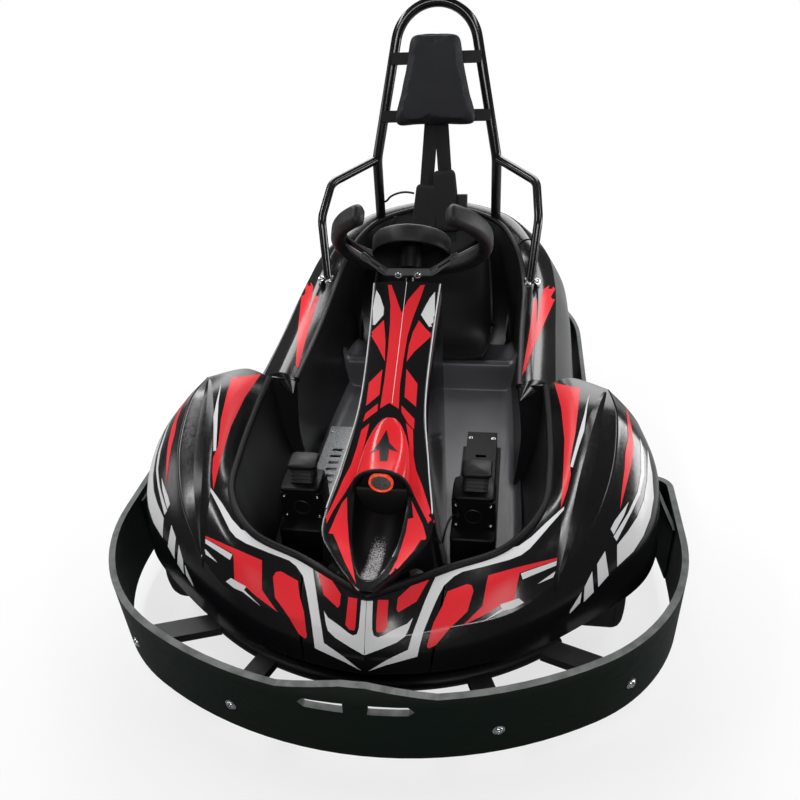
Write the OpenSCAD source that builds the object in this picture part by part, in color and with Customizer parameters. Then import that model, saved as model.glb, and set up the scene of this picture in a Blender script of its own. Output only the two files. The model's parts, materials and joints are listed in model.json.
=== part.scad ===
// Electric go-kart: tub body on a tube frame, full bumper bands, roll hoop.
// Millimetres. The nose points to -Y, +Z is up, the origin is on the floor
// under the middle of the bumper bands.

/* [Bumper bands] */
// Width over the front bumper band
bumper_w = 1300; // [1240:10:1360]
// Front axle to the front of the nose band
front_overhang = 464; // [456:2:480]
// Rear axle to the back of the rear band
rear_overhang = 384; // [376:2:392]
// Height of a bumper band
band_h = 176; // [150:2:190]
// Height of the bands' lower edge above the floor
band_z = 54; // [50:1:70]
// Thickness of a bumper band
band_t = 14; // [10:1:18]
// Outer radius of the rear bumper band
rear_band_r = 480; // [475:1:490]

/* [Body panels] */
// Thickness of the moulded panels
panel_t = 5; // [4:0.5:6]
// Gap left at the parting line between two panels
panel_gap = 3; // [2:0.5:5]
// Thickness of the cockpit walls and floor
wall_t = 4; // [3:0.5:5]

/* [Frame] */
// Diameter of the frame tubes
tube_d = 30; // [25:1:32]
// Height of the frame tubes' middle line
frame_z = 76; // [74:1:80]
// Distance from the middle to each main rail
rail_x = 230; // [220:1:240]

/* [Wheels] */
// Wheelbase
wheelbase = 1040; // [1030:2:1050]
// Outer diameter of all tyres
tyre_d = 260; // [250:2:264]
// Distance from the middle to each front wheel's middle plane
front_wheel_x = 468; // [460:1:470]
// Width of a front tyre
front_tyre_w = 104; // [96:2:110]
// Distance from the middle to each rear wheel's middle plane
rear_wheel_x = 338; // [334:1:342]
// Width of a rear tyre
rear_tyre_w = 124; // [116:2:126]
// Diameter of the wheel rims
rim_d = 136; // [127:1:140]
// Diameter of the live rear axle
axle_d = 30; // [25:1:35]

/* [Steering] */
// Distance from the middle to each kingpin
kingpin_x = 375; // [370:1:378]
// Diameter of the kingpins
kingpin_d = 16; // [12:1:18]
// Length of a knuckle's steering arm
arm_l = 90; // [80:1:100]
// Slope of the steering column from the horizontal
column_slope = 46; // [44:1:48]
// Diameter of the steering column
column_d = 22; // [18:1:26]
// Radius of the steering wheel at the middle of its rim
wheel_r = 188; // [170:1:195]

/* [Roll hoop] */
// Diameter of the roll hoop's tube
hoop_d = 32; // [28:1:36]
// Distance from the middle to each hoop leg
hoop_x = 193; // [185:1:200]
// Height where the hoop's legs bend in
hoop_shoulder_z = 724; // [700:2:740]
// Lean of the hoop's upper part to the rear
hoop_lean = 16; // [12:1:18]
// Inward lean of the hoop's upper legs
hoop_taper = 10.8; // [8:0.2:12]

/* [Hidden] */
$fn = 48;
// Running clearance on a radius, and the gap between pieces that only sit together
run_c = 0.05;
seat_c = 0.4;

band_top = band_z + band_h;
axle_z = tyre_d / 2;
rear_axle_y = 560;
front_axle_y = rear_axle_y - wheelbase;
front_y = front_axle_y - front_overhang;
rear_y = rear_axle_y + rear_overhang;
// Front end of the side pods
pod_start_y = front_axle_y + 312;
frame_top = frame_z + tube_d / 2;
floor_z = frame_top + seat_c;
floor_top = floor_z + wall_t;

// Curves and shells

function pick(l, i) = l[max(0, min(len(l) - 1, i))];
function knot(a, b, c, d, t) =
    0.5 * (2 * b + (c - a) * t + (2 * a - 5 * b + 4 * c - d) * t * t
        + (3 * b - a - 3 * c + d) * t * t * t);
// Point on the smooth curve through list l, u runs from 0 to len(l) - 1
function spline(l, u) =
    let (i = min(floor(u), len(l) - 2))
    knot(pick(l, i - 1), pick(l, i), pick(l, i + 1), pick(l, i + 2), u - i);
// Section of a row of stations at u: each column of control points is its own curve
function station(rows, u) =
    [for (c = [0:len(rows[0]) - 1]) spline([for (r = rows) r[c]], u)];
// Point of a panel section: two smooth halves that meet in a crease at control point 2
function section(s, v) =
    v <= 0.5 ? spline([s[0], s[1], s[2]], v * 4) : spline([s[2], s[3], s[4]], v * 4 - 2);
// Values of u from u0 to u1 that stop at every quarter, so neighbouring sheets share them
function steps(u0, u1) =
    concat([u0], [for (k = [ceil(u0 * 4 + 0.2):floor(u1 * 4 - 0.2)]) k / 4], [u1]);
function panel_grid(rows, u0, u1, nv) =
    [for (u = steps(u0, u1))
        let (s = station(rows, u))
        [for (j = [0:nv]) section(s, j / nv)]];
function unit(v) = v / max(norm(v), 1e-9);
function grid_normal(g, i, j) =
    unit(cross(pick(g, i + 1)[j] - pick(g, i - 1)[j], pick(g[i], j + 1) - pick(g[i], j - 1)));
function offset_grid(g, t) =
    [for (i = [0:len(g) - 1])
        [for (j = [0:len(g[0]) - 1]) g[i][j] + grid_normal(g, i, j) * t]];

// Closed sheet between grid a and grid b, which have the same number of rows and columns
module sheet(a, b) {
    nu = len(a) - 1;
    nv = len(a[0]) - 1;
    w = nv + 1;
    k = (nu + 1) * w;
    points = concat([for (r = a) each r], [for (r = b) each r]);
    function quad(p, q, r, s) = [[p, q, r], [p, r, s]];
    faces = concat(
        [for (i = [0:nu - 1]) for (j = [0:nv - 1])
            each quad(i * w + j, i * w + j + 1, (i + 1) * w + j + 1, (i + 1) * w + j)],
        [for (i = [0:nu - 1]) for (j = [0:nv - 1])
            each quad(k + i * w + j, k + (i + 1) * w + j, k + (i + 1) * w + j + 1, k + i * w + j + 1)],
        [for (i = [0:nu - 1]) each quad(i * w, (i + 1) * w, k + (i + 1) * w, k + i * w)],
        [for (i = [0:nu - 1])
            each quad(i * w + nv, k + i * w + nv, k + (i + 1) * w + nv, (i + 1) * w + nv)],
        [for (j = [0:nv - 1]) each quad(j, k + j, k + j + 1, j + 1)],
        [for (j = [0:nv - 1])
            each quad(nu * w + j, nu * w + j + 1, k + nu * w + j + 1, k + nu * w + j)]);
    polyhedron(points, faces, convexity = 6);
}
// Panel of thickness t under the outer grid g
module panel(g, t) { sheet(g, offset_grid(g, t)); }
module both() {
    children();
    mirror([1, 0, 0]) children();
}
// Round bar from point a to point b
module bar(a, b, d) {
    v = b - a;
    translate(a) rotate([0, acos(v[2] / norm(v)), atan2(v[1], v[0])]) cylinder(h = norm(v), d = d);
}
// Ball at a bend, a touch larger than the tubes that meet in it
module ball(p, d) { translate(p) sphere(d = d + 0.8); }
module tube_run(points, d) {
    for (i = [0:len(points) - 2]) bar(points[i], points[i + 1], d);
    for (i = [1:1:len(points) - 2]) ball(points[i], d);
}

// Body outline tables, the half on the driver's left, mirrored for the right

// Front fairing, from the nose's middle line round to the fender's rear edge.
// Columns: cockpit rim, crown, ridge, side bulge, lower edge. The first three rows have their y
// from the front of the band, the others from the front axle.
nose_rows = 3;
function row_y(i) = i < nose_rows ? front_y : front_axle_y;
fairing_rows = [
    [[0, 178, 302], [0, 147, 268], [0, 122, 232], [0, 106, 205], [0, 96, 172]],
    [[146, 268, 296], [143, 214, 276], [137, 158, 244], [131, 130, 210], [125, 116, 170]],
    [[262, 298, 334], [280, 250, 318], [298, 202, 270], [303, 182, 222], [300, 174, 170]],
    [[335, -72, 358], [366, -104, 364], [410, -150, 332], [440, -180, 260], [449, -184, 172]],
    [[352, 50, 376], [397, 32, 414], [472, -12, 404], [544, -58, 312], [562, -69, 172]],
    [[352, 180, 402], [408, 180, 450], [494, 144, 450], [584, 94, 342], [610, 78, 172]],
    [[345, 294, 430], [402, 290, 456], [484, 240, 458], [562, 212, 372], [600, 204, 205]]
];
fairing = [for (i = [0:len(fairing_rows) - 1]) [for (p = fairing_rows[i]) p + [0, row_y(i), 0]]];
fairing_seam = 1;
fairing_end = len(fairing) - 1;

// Rear body, from behind the fender along the pod and round the back.
// Columns: cockpit rim, crown, shoulder, side, lower edge
rear_body = [
    [for (p = [[282, 414], [318, 434], [368, 418], [420, 330], [432, 150]]) [p[0], pod_start_y, p[1]]],
    [[286, 110, 414], [325, 110, 437], [376, 110, 420], [428, 110, 320], [440, 110, 146]],
    [[292, 384, 430], [332, 388, 458], [382, 394, 436], [430, 400, 335], [440, 402, 165]],
    [[264, 540, 488], [302, 560, 506], [352, 578, 470], [404, 590, 372], [420, 596, 290]],
    [[185, 690, 526], [214, 724, 536], [250, 752, 492], [302, 778, 380], [312, 786, 286]],
    [[0, 775, 540], [0, 815, 548], [0, 846, 500], [0, 878, 380], [0, 888, 240]]
];
pod_end = 3;
rear_end = len(rear_body) - 1;
// One mirrored row more makes the curves level where they cross the middle
rear_rows = concat(rear_body, [[for (p = rear_body[rear_end - 1]) [-p[0], p[1], p[2]]]]);

// Lower edge of the cockpit walls at the same stations as the two tables above
front_foot_rows = [
    [0, 338, 0], [140, 340, 0], [246, 378, 0], [284, 0, 0], [292, 80, 0], [292, 190, 0], [288, 302, 0]
];
front_foot = [for (i = [0:len(front_foot_rows) - 1]) front_foot_rows[i] + [0, row_y(i), 0]];
side_foot = [[276, pod_start_y, 0], [270, 110, 0], [256, 330, 0], [244, 480, 0]];
wall_foot_z = floor_top + seat_c + 0.9;

// Pulls a rim point towards the cockpit's middle, clear of the panel that starts there
rim_c = wall_t + seat_c;
nose_rim_c = rim_c + 3.4;
function inboard(p, c = rim_c) = p + c * unit([-p[0], max(front_axle_y + 180, min(rear_axle_y - 60, p[1])) - p[1], 0]);

module fender() {
    color("#17181a")
        panel(panel_grid(fairing, fairing_seam + panel_gap / 200, fairing_end, 14), panel_t);
}
module front_fender_left() { fender(); }
module front_fender_right() { mirror([1, 0, 0]) fender(); }
module nose_panel() {
    half = panel_grid(fairing, 0, fairing_seam - panel_gap / 200, 14);
    left = mirrored(half);
    color("#17181a") panel(concat([for (i = [0:len(left) - 2]) left[i]], half), panel_t);
}
module pod() {
    color("#1b1c1e") panel(panel_grid(rear_rows, 0, pod_end - panel_gap / 150, 12), panel_t);
}
module side_pod_left() { pod(); }
module side_pod_right() { mirror([1, 0, 0]) pod(); }
module rear_cowl() {
    half = panel_grid(rear_rows, pod_end + panel_gap / 150, rear_end, 12);
    left = mirrored(half);
    color("#1b1c1e") difference() {
        panel(concat(half, [for (i = [1:len(left) - 1]) left[i]]), panel_t);
        both() translate([hoop_x, hoop_y, frame_z]) cylinder(h = 600, d = hoop_d + 10);
    }
}

// Cockpit

// Wall from a rim point to a foot point on the floor, bowed outwards half way down
function wall_row(top, foot, nv) =
    let (nose_y = top[1] < front_axle_y - 20 ? top[1] - front_axle_y - 80 : 0,
        mid = (top + foot) / 2 + 14 * unit([top[0], nose_y, 0]))
    [for (j = [0:nv]) spline([top, mid, foot], 2 * j / nv)];
function wall_grid(rows, feet, u0, u1, nv, c = rim_c, lift = 0) =
    let (rims = [for (r = rows) inboard(r[0], c)])
    [for (u = steps(u0, u1)) wall_row(spline(rims, u), spline(feet, u) + [0, 0, wall_foot_z + lift], nv)];
function mirrored(g) = [for (i = [len(g) - 1:-1:0]) [for (p = g[i]) [-p[0], p[1], p[2]]]];

module side_wall() {
    // The footwell's wall ends in a return that closes the step in to the pod
    step_top = inboard(rear_body[0][0]) + [wall_t + seat_c, -6, 0];
    step_foot = side_foot[0] + [wall_t + seat_c, -6, wall_foot_z];
    panel(concat(wall_grid(fairing, front_foot, 2 + panel_gap / 200, fairing_end, 6),
        [wall_row(step_top, step_foot, 6)]), -wall_t);
    panel(wall_grid(rear_body, side_foot, 0, pod_end - panel_gap / 100, 6), -wall_t);
}
module cockpit_walls() { color("#101113") both() side_wall(); }
module front_bulkhead() {
    half = wall_grid(fairing, front_foot, 0, 2 - panel_gap / 200, 5, nose_rim_c, 1.7);
    left = mirrored(half);
    whole = concat([for (i = [0:len(left) - 2]) left[i]], half);
    color("#101113") panel(whole, -wall_t);
}
// The seat bulkhead climbs from the seat platform to the rear rim of the cockpit
platform_y = [318, 470];
platform_z = 168;
platform_half = 236;
module seat_bulkhead() {
    rims = [for (r = rear_rows) inboard(r[0])];
    half = [for (u = steps(pod_end, rear_end))
        let (top = spline(rims, u),
            foot = [platform_half * (rear_end - u) / (rear_end - pod_end), platform_y[1],
                platform_z + wall_t + seat_c],
            mid = (top + foot) / 2 + [0, 26, -18])
        [for (j = [0:6]) spline([top, mid, foot], 2 * j / 6)]];
    right = mirrored(half);
    color("#101113") difference() {
        panel(concat(half, [for (i = [1:len(right) - 1]) right[i]]), -wall_t);
        both() translate([hoop_x, hoop_y, frame_z]) cylinder(h = 600, d = hoop_d + 6);
    }
}
// Floor with the step up to the seat platform and the slot where the drop arm passes
module floor_pan() {
    outline = concat(
        [for (i = [0:24]) let (p = spline(front_foot, 6 * i / 24)) [p[0] + 2, p[1] - 2]],
        [[276, pod_start_y + 2], [272, 110], [258, platform_y[0]]]);
    right = [for (p = outline) [max(0, p[0] - (p[0] < 3 ? 3 : 0)), p[1]]];
    color("#141517") {
        difference() {
            translate([0, 0, floor_z]) linear_extrude(wall_t)
                polygon(concat(right, [for (i = [len(right) - 1:-1:1]) [-right[i][0], right[i][1]]]));
            translate([0, column_foot_y, 0]) cylinder(h = 200, d = shaft_d + 20);
        }
        translate([-platform_half, platform_y[0] - wall_t, floor_z])
            cube([2 * platform_half, wall_t, platform_z - floor_z + wall_t]);
        translate([-platform_half, platform_y[0] - wall_t, platform_z])
            cube([2 * platform_half, platform_y[1] - platform_y[0] + wall_t, wall_t]);
        translate([-platform_half, platform_y[0], platform_z - 10]) rotate([0, 90, 0])
            cylinder(h = 2 * platform_half, r = 14);
    }
}

// Bumper bands

front_arc_r = 900;
corner_r = 400;
front_arc_a = asin((bumper_w / 2 - corner_r) / (front_arc_r - corner_r));
corner_y = front_y + front_arc_r - (front_arc_r - corner_r) * cos(front_arc_a);
corner_x = bumper_w / 2 - corner_r;
side_end_y = front_axle_y + 176;
return_r = 40;
return_a = 155;
return_l = 60;

// Points of an arc in plan: a is measured from the nose direction towards +X, and is kept as the turn
function arc_points(x, y, r, a0, a1, n) =
    [for (k = [0:n]) let (a = a0 + (a1 - a0) * k / n) [x + r * sin(a), y - r * cos(a), a]];
function rest(l) = [for (i = [1:len(l) - 1]) l[i]];
function backwards(l) = [for (i = [len(l) - 1:-1:0]) l[i]];
// Outer face of the left half band: nose arc, corner, straight side, return and its tail
return_tip = [bumper_w / 2 - return_r * (1 - sin(return_a)), side_end_y - return_r * cos(return_a)];
front_path = concat(
    arc_points(0, front_y + front_arc_r, front_arc_r, 0, front_arc_a, 12),
    rest(arc_points(corner_x, corner_y, corner_r, front_arc_a, 90, 18)),
    arc_points(bumper_w / 2 - return_r, side_end_y, return_r, 90, return_a, 8),
    [[return_tip[0] + return_l * cos(return_a), return_tip[1] + return_l * sin(return_a), return_a]]);
function outer_face(side) = [for (p = front_path) [side * p[0], p[1]]];
function inner_face(side) =
    [for (p = front_path) [side * (p[0] - band_t * sin(p[2])), p[1] + band_t * cos(p[2])]];
band_outline = concat(outer_face(1), backwards(inner_face(1)),
    rest(inner_face(-1)), backwards(rest(outer_face(-1))));
gusset = [[bumper_w / 2 - 10, side_end_y - 126], [bumper_w / 2 - 34, side_end_y + 56]];
crest = 32;
module front_bumper() {
    gusset_a = atan2(gusset[1][1] - gusset[0][1], gusset[1][0] - gusset[0][0]);
    color("#16201a") difference() {
        union() {
            translate([0, 0, band_z]) linear_extrude(band_h + crest) polygon(band_outline);
            both() translate([gusset[0][0], gusset[0][1], band_z + 4]) rotate([0, 0, gusset_a])
                cube([norm(gusset[1] - gusset[0]), 8, band_h - 24]);
        }
        // The middle of the band rises to a low crest
        both() translate([0, rear_y, 0]) rotate([90, 0, 0]) linear_extrude(rear_y - front_y + 100)
            polygon([[24, band_top + crest], [150, band_top], [bumper_w, band_top],
                [bumper_w, band_top + 2 * crest], [24, band_top + 2 * crest]]);
        both() translate([0, front_y + 60, 0]) rotate([90, 0, 0]) linear_extrude(120)
            polygon([[22, 186], [98, 186], [110, 197], [98, 210], [22, 212]]);
        both() for (b = bumper_bolts) translate([b[0], b[1], bolt_z]) rotate([90, 0, b[2]])
            translate([0, 0, -60]) cylinder(h = 120, d = 9);
    }
}
rear_arc_y = rear_y - rear_band_r;
rear_side_y = rear_axle_y - 390;
flare_r = 36;
module rear_bumper() {
    color("#16201a") {
        translate([0, rear_arc_y, band_z]) rotate_extrude(angle = 180, $fn = 96)
            translate([rear_band_r - band_t, 0]) square([band_t, band_h - 10]);
        both() {
            translate([rear_band_r - band_t, rear_side_y, band_z])
                cube([band_t, rear_arc_y - rear_side_y, band_h - 10]);
            translate([rear_band_r + flare_r, rear_side_y, band_z]) rotate([0, 0, 180])
                rotate_extrude(angle = 50) translate([flare_r, 0]) square([band_t, band_h - 10]);
        }
    }
}
// Steel carrier: a low hoop under the nose with stays out to both bands.
// Columns of a front stay: bolt x, bolt y on the band's outer face, turn and radius of the band there
bolt_x = 260;
corner_bolt_a = front_arc_a + 11;
bumper_bolts = [
    [bolt_x, front_y + front_arc_r - sqrt(pow(front_arc_r, 2) - pow(bolt_x, 2)),
        asin(bolt_x / front_arc_r), front_arc_r],
    [corner_x + corner_r * sin(corner_bolt_a), corner_y - corner_r * cos(corner_bolt_a),
        corner_bolt_a, corner_r]
];
bolt_z = 122;
carrier_a = 40;
carrier_z = 122;
carrier_d = 28;
// The hoop's circle passes inside the fairing's lower edge at the nose and at its third row
carrier_nose_y = fairing[0][4][1] + 19;
carrier_side = [fairing[2][4][0], fairing[2][4][1] + 25.5];
carrier_sag = carrier_side[1] - carrier_nose_y;
carrier_r = (pow(carrier_side[0], 2) + pow(carrier_sag, 2)) / (2 * carrier_sag);
carrier_y = carrier_nose_y + carrier_r;
tray_w = 135;
stay_half = 29;
stay_w = 46;
module bumper_carrier() {
    end = [carrier_r * sin(carrier_a), carrier_y - carrier_r * cos(carrier_a), carrier_z];
    color("#0d0e0f") difference() {
        union() {
            translate([0, carrier_y, carrier_z]) rotate([0, 0, -90 - carrier_a])
                rotate_extrude(angle = 2 * carrier_a, $fn = 96)
                    translate([carrier_r, 0]) circle(d = carrier_d);
            // Tray that closes the space between the hoop and the front bulkhead
            translate([0, carrier_y, carrier_z - 8]) rotate([0, 0, -89 - carrier_a])
                rotate_extrude(angle = 2 * carrier_a - 2, $fn = 96)
                    translate([carrier_r - tray_w, 0]) square([tray_w, 3]);
            both() {
                ball(end, carrier_d);
                bar(end, [rail_x + 26.6, front_axle_y - 60, frame_z - 2], carrier_d);
                for (b = bumper_bolts) {
                    a = min(atan2(b[0], carrier_y - b[1]), carrier_a - 3);
                    foot = [carrier_r * sin(a), carrier_y - carrier_r * cos(a), bolt_z];
                    sag = pow(stay_half, 2) / 2 / (b[3] - band_t);
                    tip = [b[0], b[1], bolt_z] + (band_t + sag + seat_c) * [-sin(b[2]), cos(b[2]), 0];
                    run = tip - foot;
                    skew = abs(atan2(run[0], -run[1]) - b[2]);
                    translate(tip) rotate([0, 0, b[2]]) translate([-stay_half, 0, -19]) cube([2 * stay_half, 10, 38]);
                    translate(foot) rotate([0, 0, atan2(run[1], run[0])])
                        translate([0, -stay_w / 2, -10])
                            cube([norm(run) - 5 - stay_w / 2 * tan(skew), stay_w, 20]);
                }
            }
        }
        both() for (b = bumper_bolts) translate([b[0], b[1], bolt_z]) rotate([90, 0, b[2]])
            translate([0, 0, -40]) cylinder(h = 80, d = 9);
    }
}

// Frame

rail_y_ends = [front_axle_y - 125, rear_axle_y + 225];
stay_y = front_axle_y + 300;
pedal_tube_y = front_axle_y + 80;
side_bar_x = 400;
side_bar_end = rear_axle_y - 172;
// Tubes butt against each other with the small seating gap
module main_rails() {
    color("#0d0e0f") both() bar([rail_x, rail_y_ends[0], frame_z], [rail_x, rail_y_ends[1], frame_z], tube_d);
}
module cross_tubes() {
    inner = rail_x - tube_d / 2 - seat_c;
    outer = rail_x + tube_d / 2 + seat_c;
    bar_in = side_bar_x - tube_d / 2 - seat_c;
    bar_out = side_bar_x + tube_d / 2 + seat_c;
    band_in = rear_band_r - band_t - seat_c;
    plate_x = bumper_w / 2 - 84 - seat_c;
    rear_band_y = rear_arc_y + sqrt(pow(rear_band_r - band_t, 2) - pow(rail_x + 12, 2));
    color("#0d0e0f") {
        for (y = [rail_y_ends[0] + 15, pedal_tube_y, stay_y, stay_y + 120, side_bar_end, rail_y_ends[1] - 15])
            bar([-inner, y, frame_z], [inner, y, frame_z], tube_d);
        both() {
            bar([outer, front_axle_y, frame_z], [yoke_back_x - seat_c, front_axle_y, frame_z], tube_d);
            bar([outer, stay_y, frame_z], [bar_in, stay_y, frame_z], tube_d);
            bar([outer, side_bar_end, frame_z], [bar_in, side_bar_end, frame_z], tube_d);
            bar([side_bar_x, stay_y - 16, frame_z], [side_bar_x, side_bar_end + 16, frame_z], tube_d);
            // Stays out to the two bands
            bar([bar_out, stay_y, frame_z], [plate_x - 8, stay_y, frame_z], 24);
            translate([plate_x - 8, stay_y - 106, band_z + 6]) cube([8, 122, 80]);
            bar([bar_out, rear_side_y + 130, frame_z], [band_in, rear_side_y + 130, frame_z], 24);
            bar([rail_x, rail_y_ends[1] + seat_c, frame_z], [rail_x, rear_band_y - seat_c, frame_z], 24);
            // Foot that carries a leg of the roll hoop
            translate([hoop_x, hoop_y, frame_top + seat_c])
                cylinder(h = hoop_foot_z - 2 * seat_c - frame_top, r = 20);
            translate([hoop_x - 20, hoop_y - 20, frame_top + seat_c]) cube([rail_x - hoop_x + 20, 40, 10]);
        }
    }
}
yoke_z = [86, 94, 166, 174];
yoke_back_x = kingpin_x - 38;
module kingpin_yokes() {
    color("#0d0e0f") both() difference() {
        union() {
            translate([yoke_back_x, front_axle_y - 20, frame_z - 15])
                cube([10, 40, yoke_z[3] - frame_z + 15]);
            for (z = [yoke_z[0], yoke_z[2]]) {
                translate([yoke_back_x, front_axle_y - 20, z]) cube([kingpin_x - yoke_back_x, 40, 8]);
                translate([kingpin_x, front_axle_y, z]) cylinder(h = 8, r = 20);
            }
        }
        translate([kingpin_x, front_axle_y, 60]) cylinder(h = 160, r = kingpin_d / 2 + run_c);
    }
}
module axle_bearings() {
    color("#5a5d60") both() difference() {
        union() {
            translate([rail_x - 10, rear_axle_y - 36, frame_top + seat_c]) cube([20, 72, 30]);
            translate([rail_x - 10, rear_axle_y, axle_z]) rotate([0, 90, 0]) cylinder(h = 20, r = 30);
        }
        translate([0, rear_axle_y, axle_z]) rotate([0, 90, 0]) cylinder(h = 600, r = axle_d / 2 + run_c);
    }
}
module battery_packs() {
    pack_y = [pod_start_y + 58, rear_axle_y - 200];
    color("#2a2c2f") both() translate([304, pack_y[0], frame_top + seat_c])
        cube([100, pack_y[1] - pack_y[0], 170]);
}
motor_y = rear_axle_y + 145;
module drive_motor() {
    color("#3a3d40") {
        translate([-90, motor_y, 170]) rotate([0, 90, 0]) cylinder(h = 180, d = 150);
        translate([-95, motor_y - 15, frame_z - 10])
            cube([190, rail_y_ends[1] - 30 - seat_c - motor_y + 15, 40]);
    }
}

// Steering console, stations from its front tip to the wheel.
// Columns: top y, top z, top half width, foot y, foot z, foot half width, hollow of the top. Their
// y starts at the same places as the fairing's.
console_foot_z = floor_top + seat_c + 0.2;
console_rows = [
    [170, 322, 12, 178, 312, 18, 0],
    [244, 338, 76, 262, 300, 84, 8],
    [312, 354, 110, 324, 172, 128, 10],
    [-20, 405, 92, -20, console_foot_z, 126, 4],
    [114, 474, 72, 108, console_foot_z, 112, -4],
    [280, 556, 73, 218, console_foot_z, 104, -5],
    [424, 630, 80, 290, console_foot_z, 96, -6]
];
console = [for (i = [0:len(console_rows) - 1]) console_rows[i] + row_y(i) * [1, 0, 0, 1, 0, 0, 0]];
// Places along the console where its skin is sampled, close together at the pocket's steep end
pocket_end = 2.68;
console_steps = [
    0, 0.16, 0.35, 0.6, 0.84, 1.12, 1.47, 1.85, 2.14, 2.33, 2.5, pocket_end - 0.008, pocket_end + 0.008,
    2.82, 3.03, 3.36, 3.68, 4, 4.34, 4.67, 5, 5.5, 6
];
// Place on the table of a given y: a first guess between the rows, then one step nearer
function console_u(y) =
    let (u = lookup(y, [for (i = [0:len(console) - 1]) [console[i][0], i]]), i = min(floor(u), len(console) - 2))
    u + (y - spline(console, u)[0]) / (console[i + 1][0] - console[i][0]);
// Pocket in the top, in front of the button: deep at the button, running out towards the nose
pocket_y = [spline(console, 0.35)[0], spline(console, pocket_end)[0]];
pocket_half = 60;
pocket_depth = 66;
function pocket(x, y) =
    y <= pocket_y[0] || y >= pocket_y[1] ? 0 :
    let (t = (pocket_y[1] - y) / (pocket_y[1] - pocket_y[0]), q = 1 - pow(x / pocket_half, 2) / (1 - t * t))
    q <= 0 ? 0 : pocket_depth * (1 - t * t) * sqrt(q);
// Height of the console's top at a point, without its pocket
function console_z(x, y) = let (c = spline(console, console_u(y))) c[1] - c[6] * (1 - pow(x / c[2], 2));
module steering_console() {
    n = 18;
    g = [for (u = console_steps)
        let (c = spline(console, u), foot = [c[5], c[3], max(c[4], console_foot_z)], edge = [c[2], c[0], c[1]])
        concat([for (k = [0:3]) foot + (edge - foot) * k / 3],
            [for (k = [1:n - 1]) let (x = cos(180 * k / n) * c[2])
                [x, c[0], c[1] - c[6] * (1 - pow(x / c[2], 2)) - pocket(x, c[0])]],
            [for (k = [3:-1:0]) let (p = foot + (edge - foot) * k / 3) [-p[0], p[1], p[2]]])];
    color("#141517") panel(g, panel_t - 1);
}
// Scoop over the button: a half dome on the console's top, open towards the nose
scoop_y = [front_axle_y - 76, front_axle_y + 128];
scoop_w = 60;
scoop_h = 54;
scoop_c = 5;
module button_scoop() {
    n = 10;
    m = 12;
    g = [for (i = [0:n])
        let (t = i / n, y = scoop_y[0] + (scoop_y[1] - scoop_y[0]) * t,
            w = scoop_w * sqrt(1 - 0.93 * t * t), h = scoop_h * (1 - 0.86 * t))
        [for (j = [0:m]) let (a = 180 * j / m, x = w * cos(a))
            [x, y, console_z(x, y) + scoop_c + h * pow(sin(a), 0.8)]]];
    color("#c81420") panel(g, 3);
}
// Button on a plate that closes the scoop's mouth
plate_y = scoop_y[0] + 16.6;
ring_r = 22;
module start_button() {
    plate_z = console_z(0, plate_y) + scoop_c + 0.2;
    color("#2b2c2e") {
        intersection() {
            translate([0, plate_y, plate_z]) rotate([90, 0, 0]) cylinder(h = 4, r = scoop_h - 11);
            translate([-60, plate_y - 10, plate_z]) cube([120, 20, 60]);
        }
        translate([0, plate_y - 4, plate_z + ring_r + 0.8]) rotate([90, 0, 0]) {
            difference() {
                cylinder(h = 9, r = ring_r);
                translate([0, 0, 5]) cylinder(h = 6, r = ring_r - 6);
            }
            cylinder(h = 7, r = ring_r - 9);
        }
    }
}

// Seat: a moulded bucket, its side profile from the front lip to the top of the back.
// Columns: y, z, half width, height of the side bolster
seat_profile = [
    [322, 198, 170, 10], [372, 182, 186, 34], [450, 180, 196, 62], [508, 210, 198, 96],
    [556, 302, 194, 104], [606, 404, 184, 78], [650, 492, 166, 44], [676, 540, 140, 12]
];
module seat() {
    n = 21;
    m = 10;
    g = [for (i = [0:n])
        let (s = spline(seat_profile, (len(seat_profile) - 1) * i / n),
            s2 = spline(seat_profile, min(len(seat_profile) - 1.001, (len(seat_profile) - 1) * i / n + 0.05)),
            s1 = spline(seat_profile, max(0, (len(seat_profile) - 1) * i / n - 0.05)),
            along = unit([0, s2[0] - s1[0], s2[1] - s1[1]]),
            up = [0, -along[2], along[1]])
        [for (j = [0:m]) let (q = 2 * j / m - 1)
            [s[2] * sin(90 * q), s[0], s[1]] + up * s[3] * pow(abs(q), 3.2)]];
    color("#0f1012") panel(g, -6);
}

// Roll hoop

hoop_y = 700;
hoop_foot_z = frame_z + 62;
hoop_top_run = 352;
function hoop_point(x, h) = [x, hoop_y + h * sin(hoop_lean), hoop_shoulder_z + h * cos(hoop_lean)];
hoop_end_x = hoop_x - hoop_top_run * tan(hoop_taper);
hoop_arc_r = hoop_end_x / cos(hoop_taper);
module roll_hoop() {
    color("#0c0d0e") {
        both() {
            bar([hoop_x, hoop_y, hoop_foot_z], [hoop_x, hoop_y, hoop_shoulder_z], hoop_d);
            ball([hoop_x, hoop_y, hoop_shoulder_z], hoop_d);
            bar(hoop_point(hoop_x, 0), hoop_point(hoop_end_x, hoop_top_run), hoop_d);
        }
        translate(hoop_point(0, hoop_top_run - hoop_arc_r * sin(hoop_taper)))
            rotate([90 - hoop_lean, 0, 0]) rotate([0, 0, hoop_taper - 2])
                rotate_extrude(angle = 184 - 2 * hoop_taper, $fn = 64)
                    translate([hoop_arc_r, 0]) circle(d = hoop_d + 0.8);
    }
}
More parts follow.
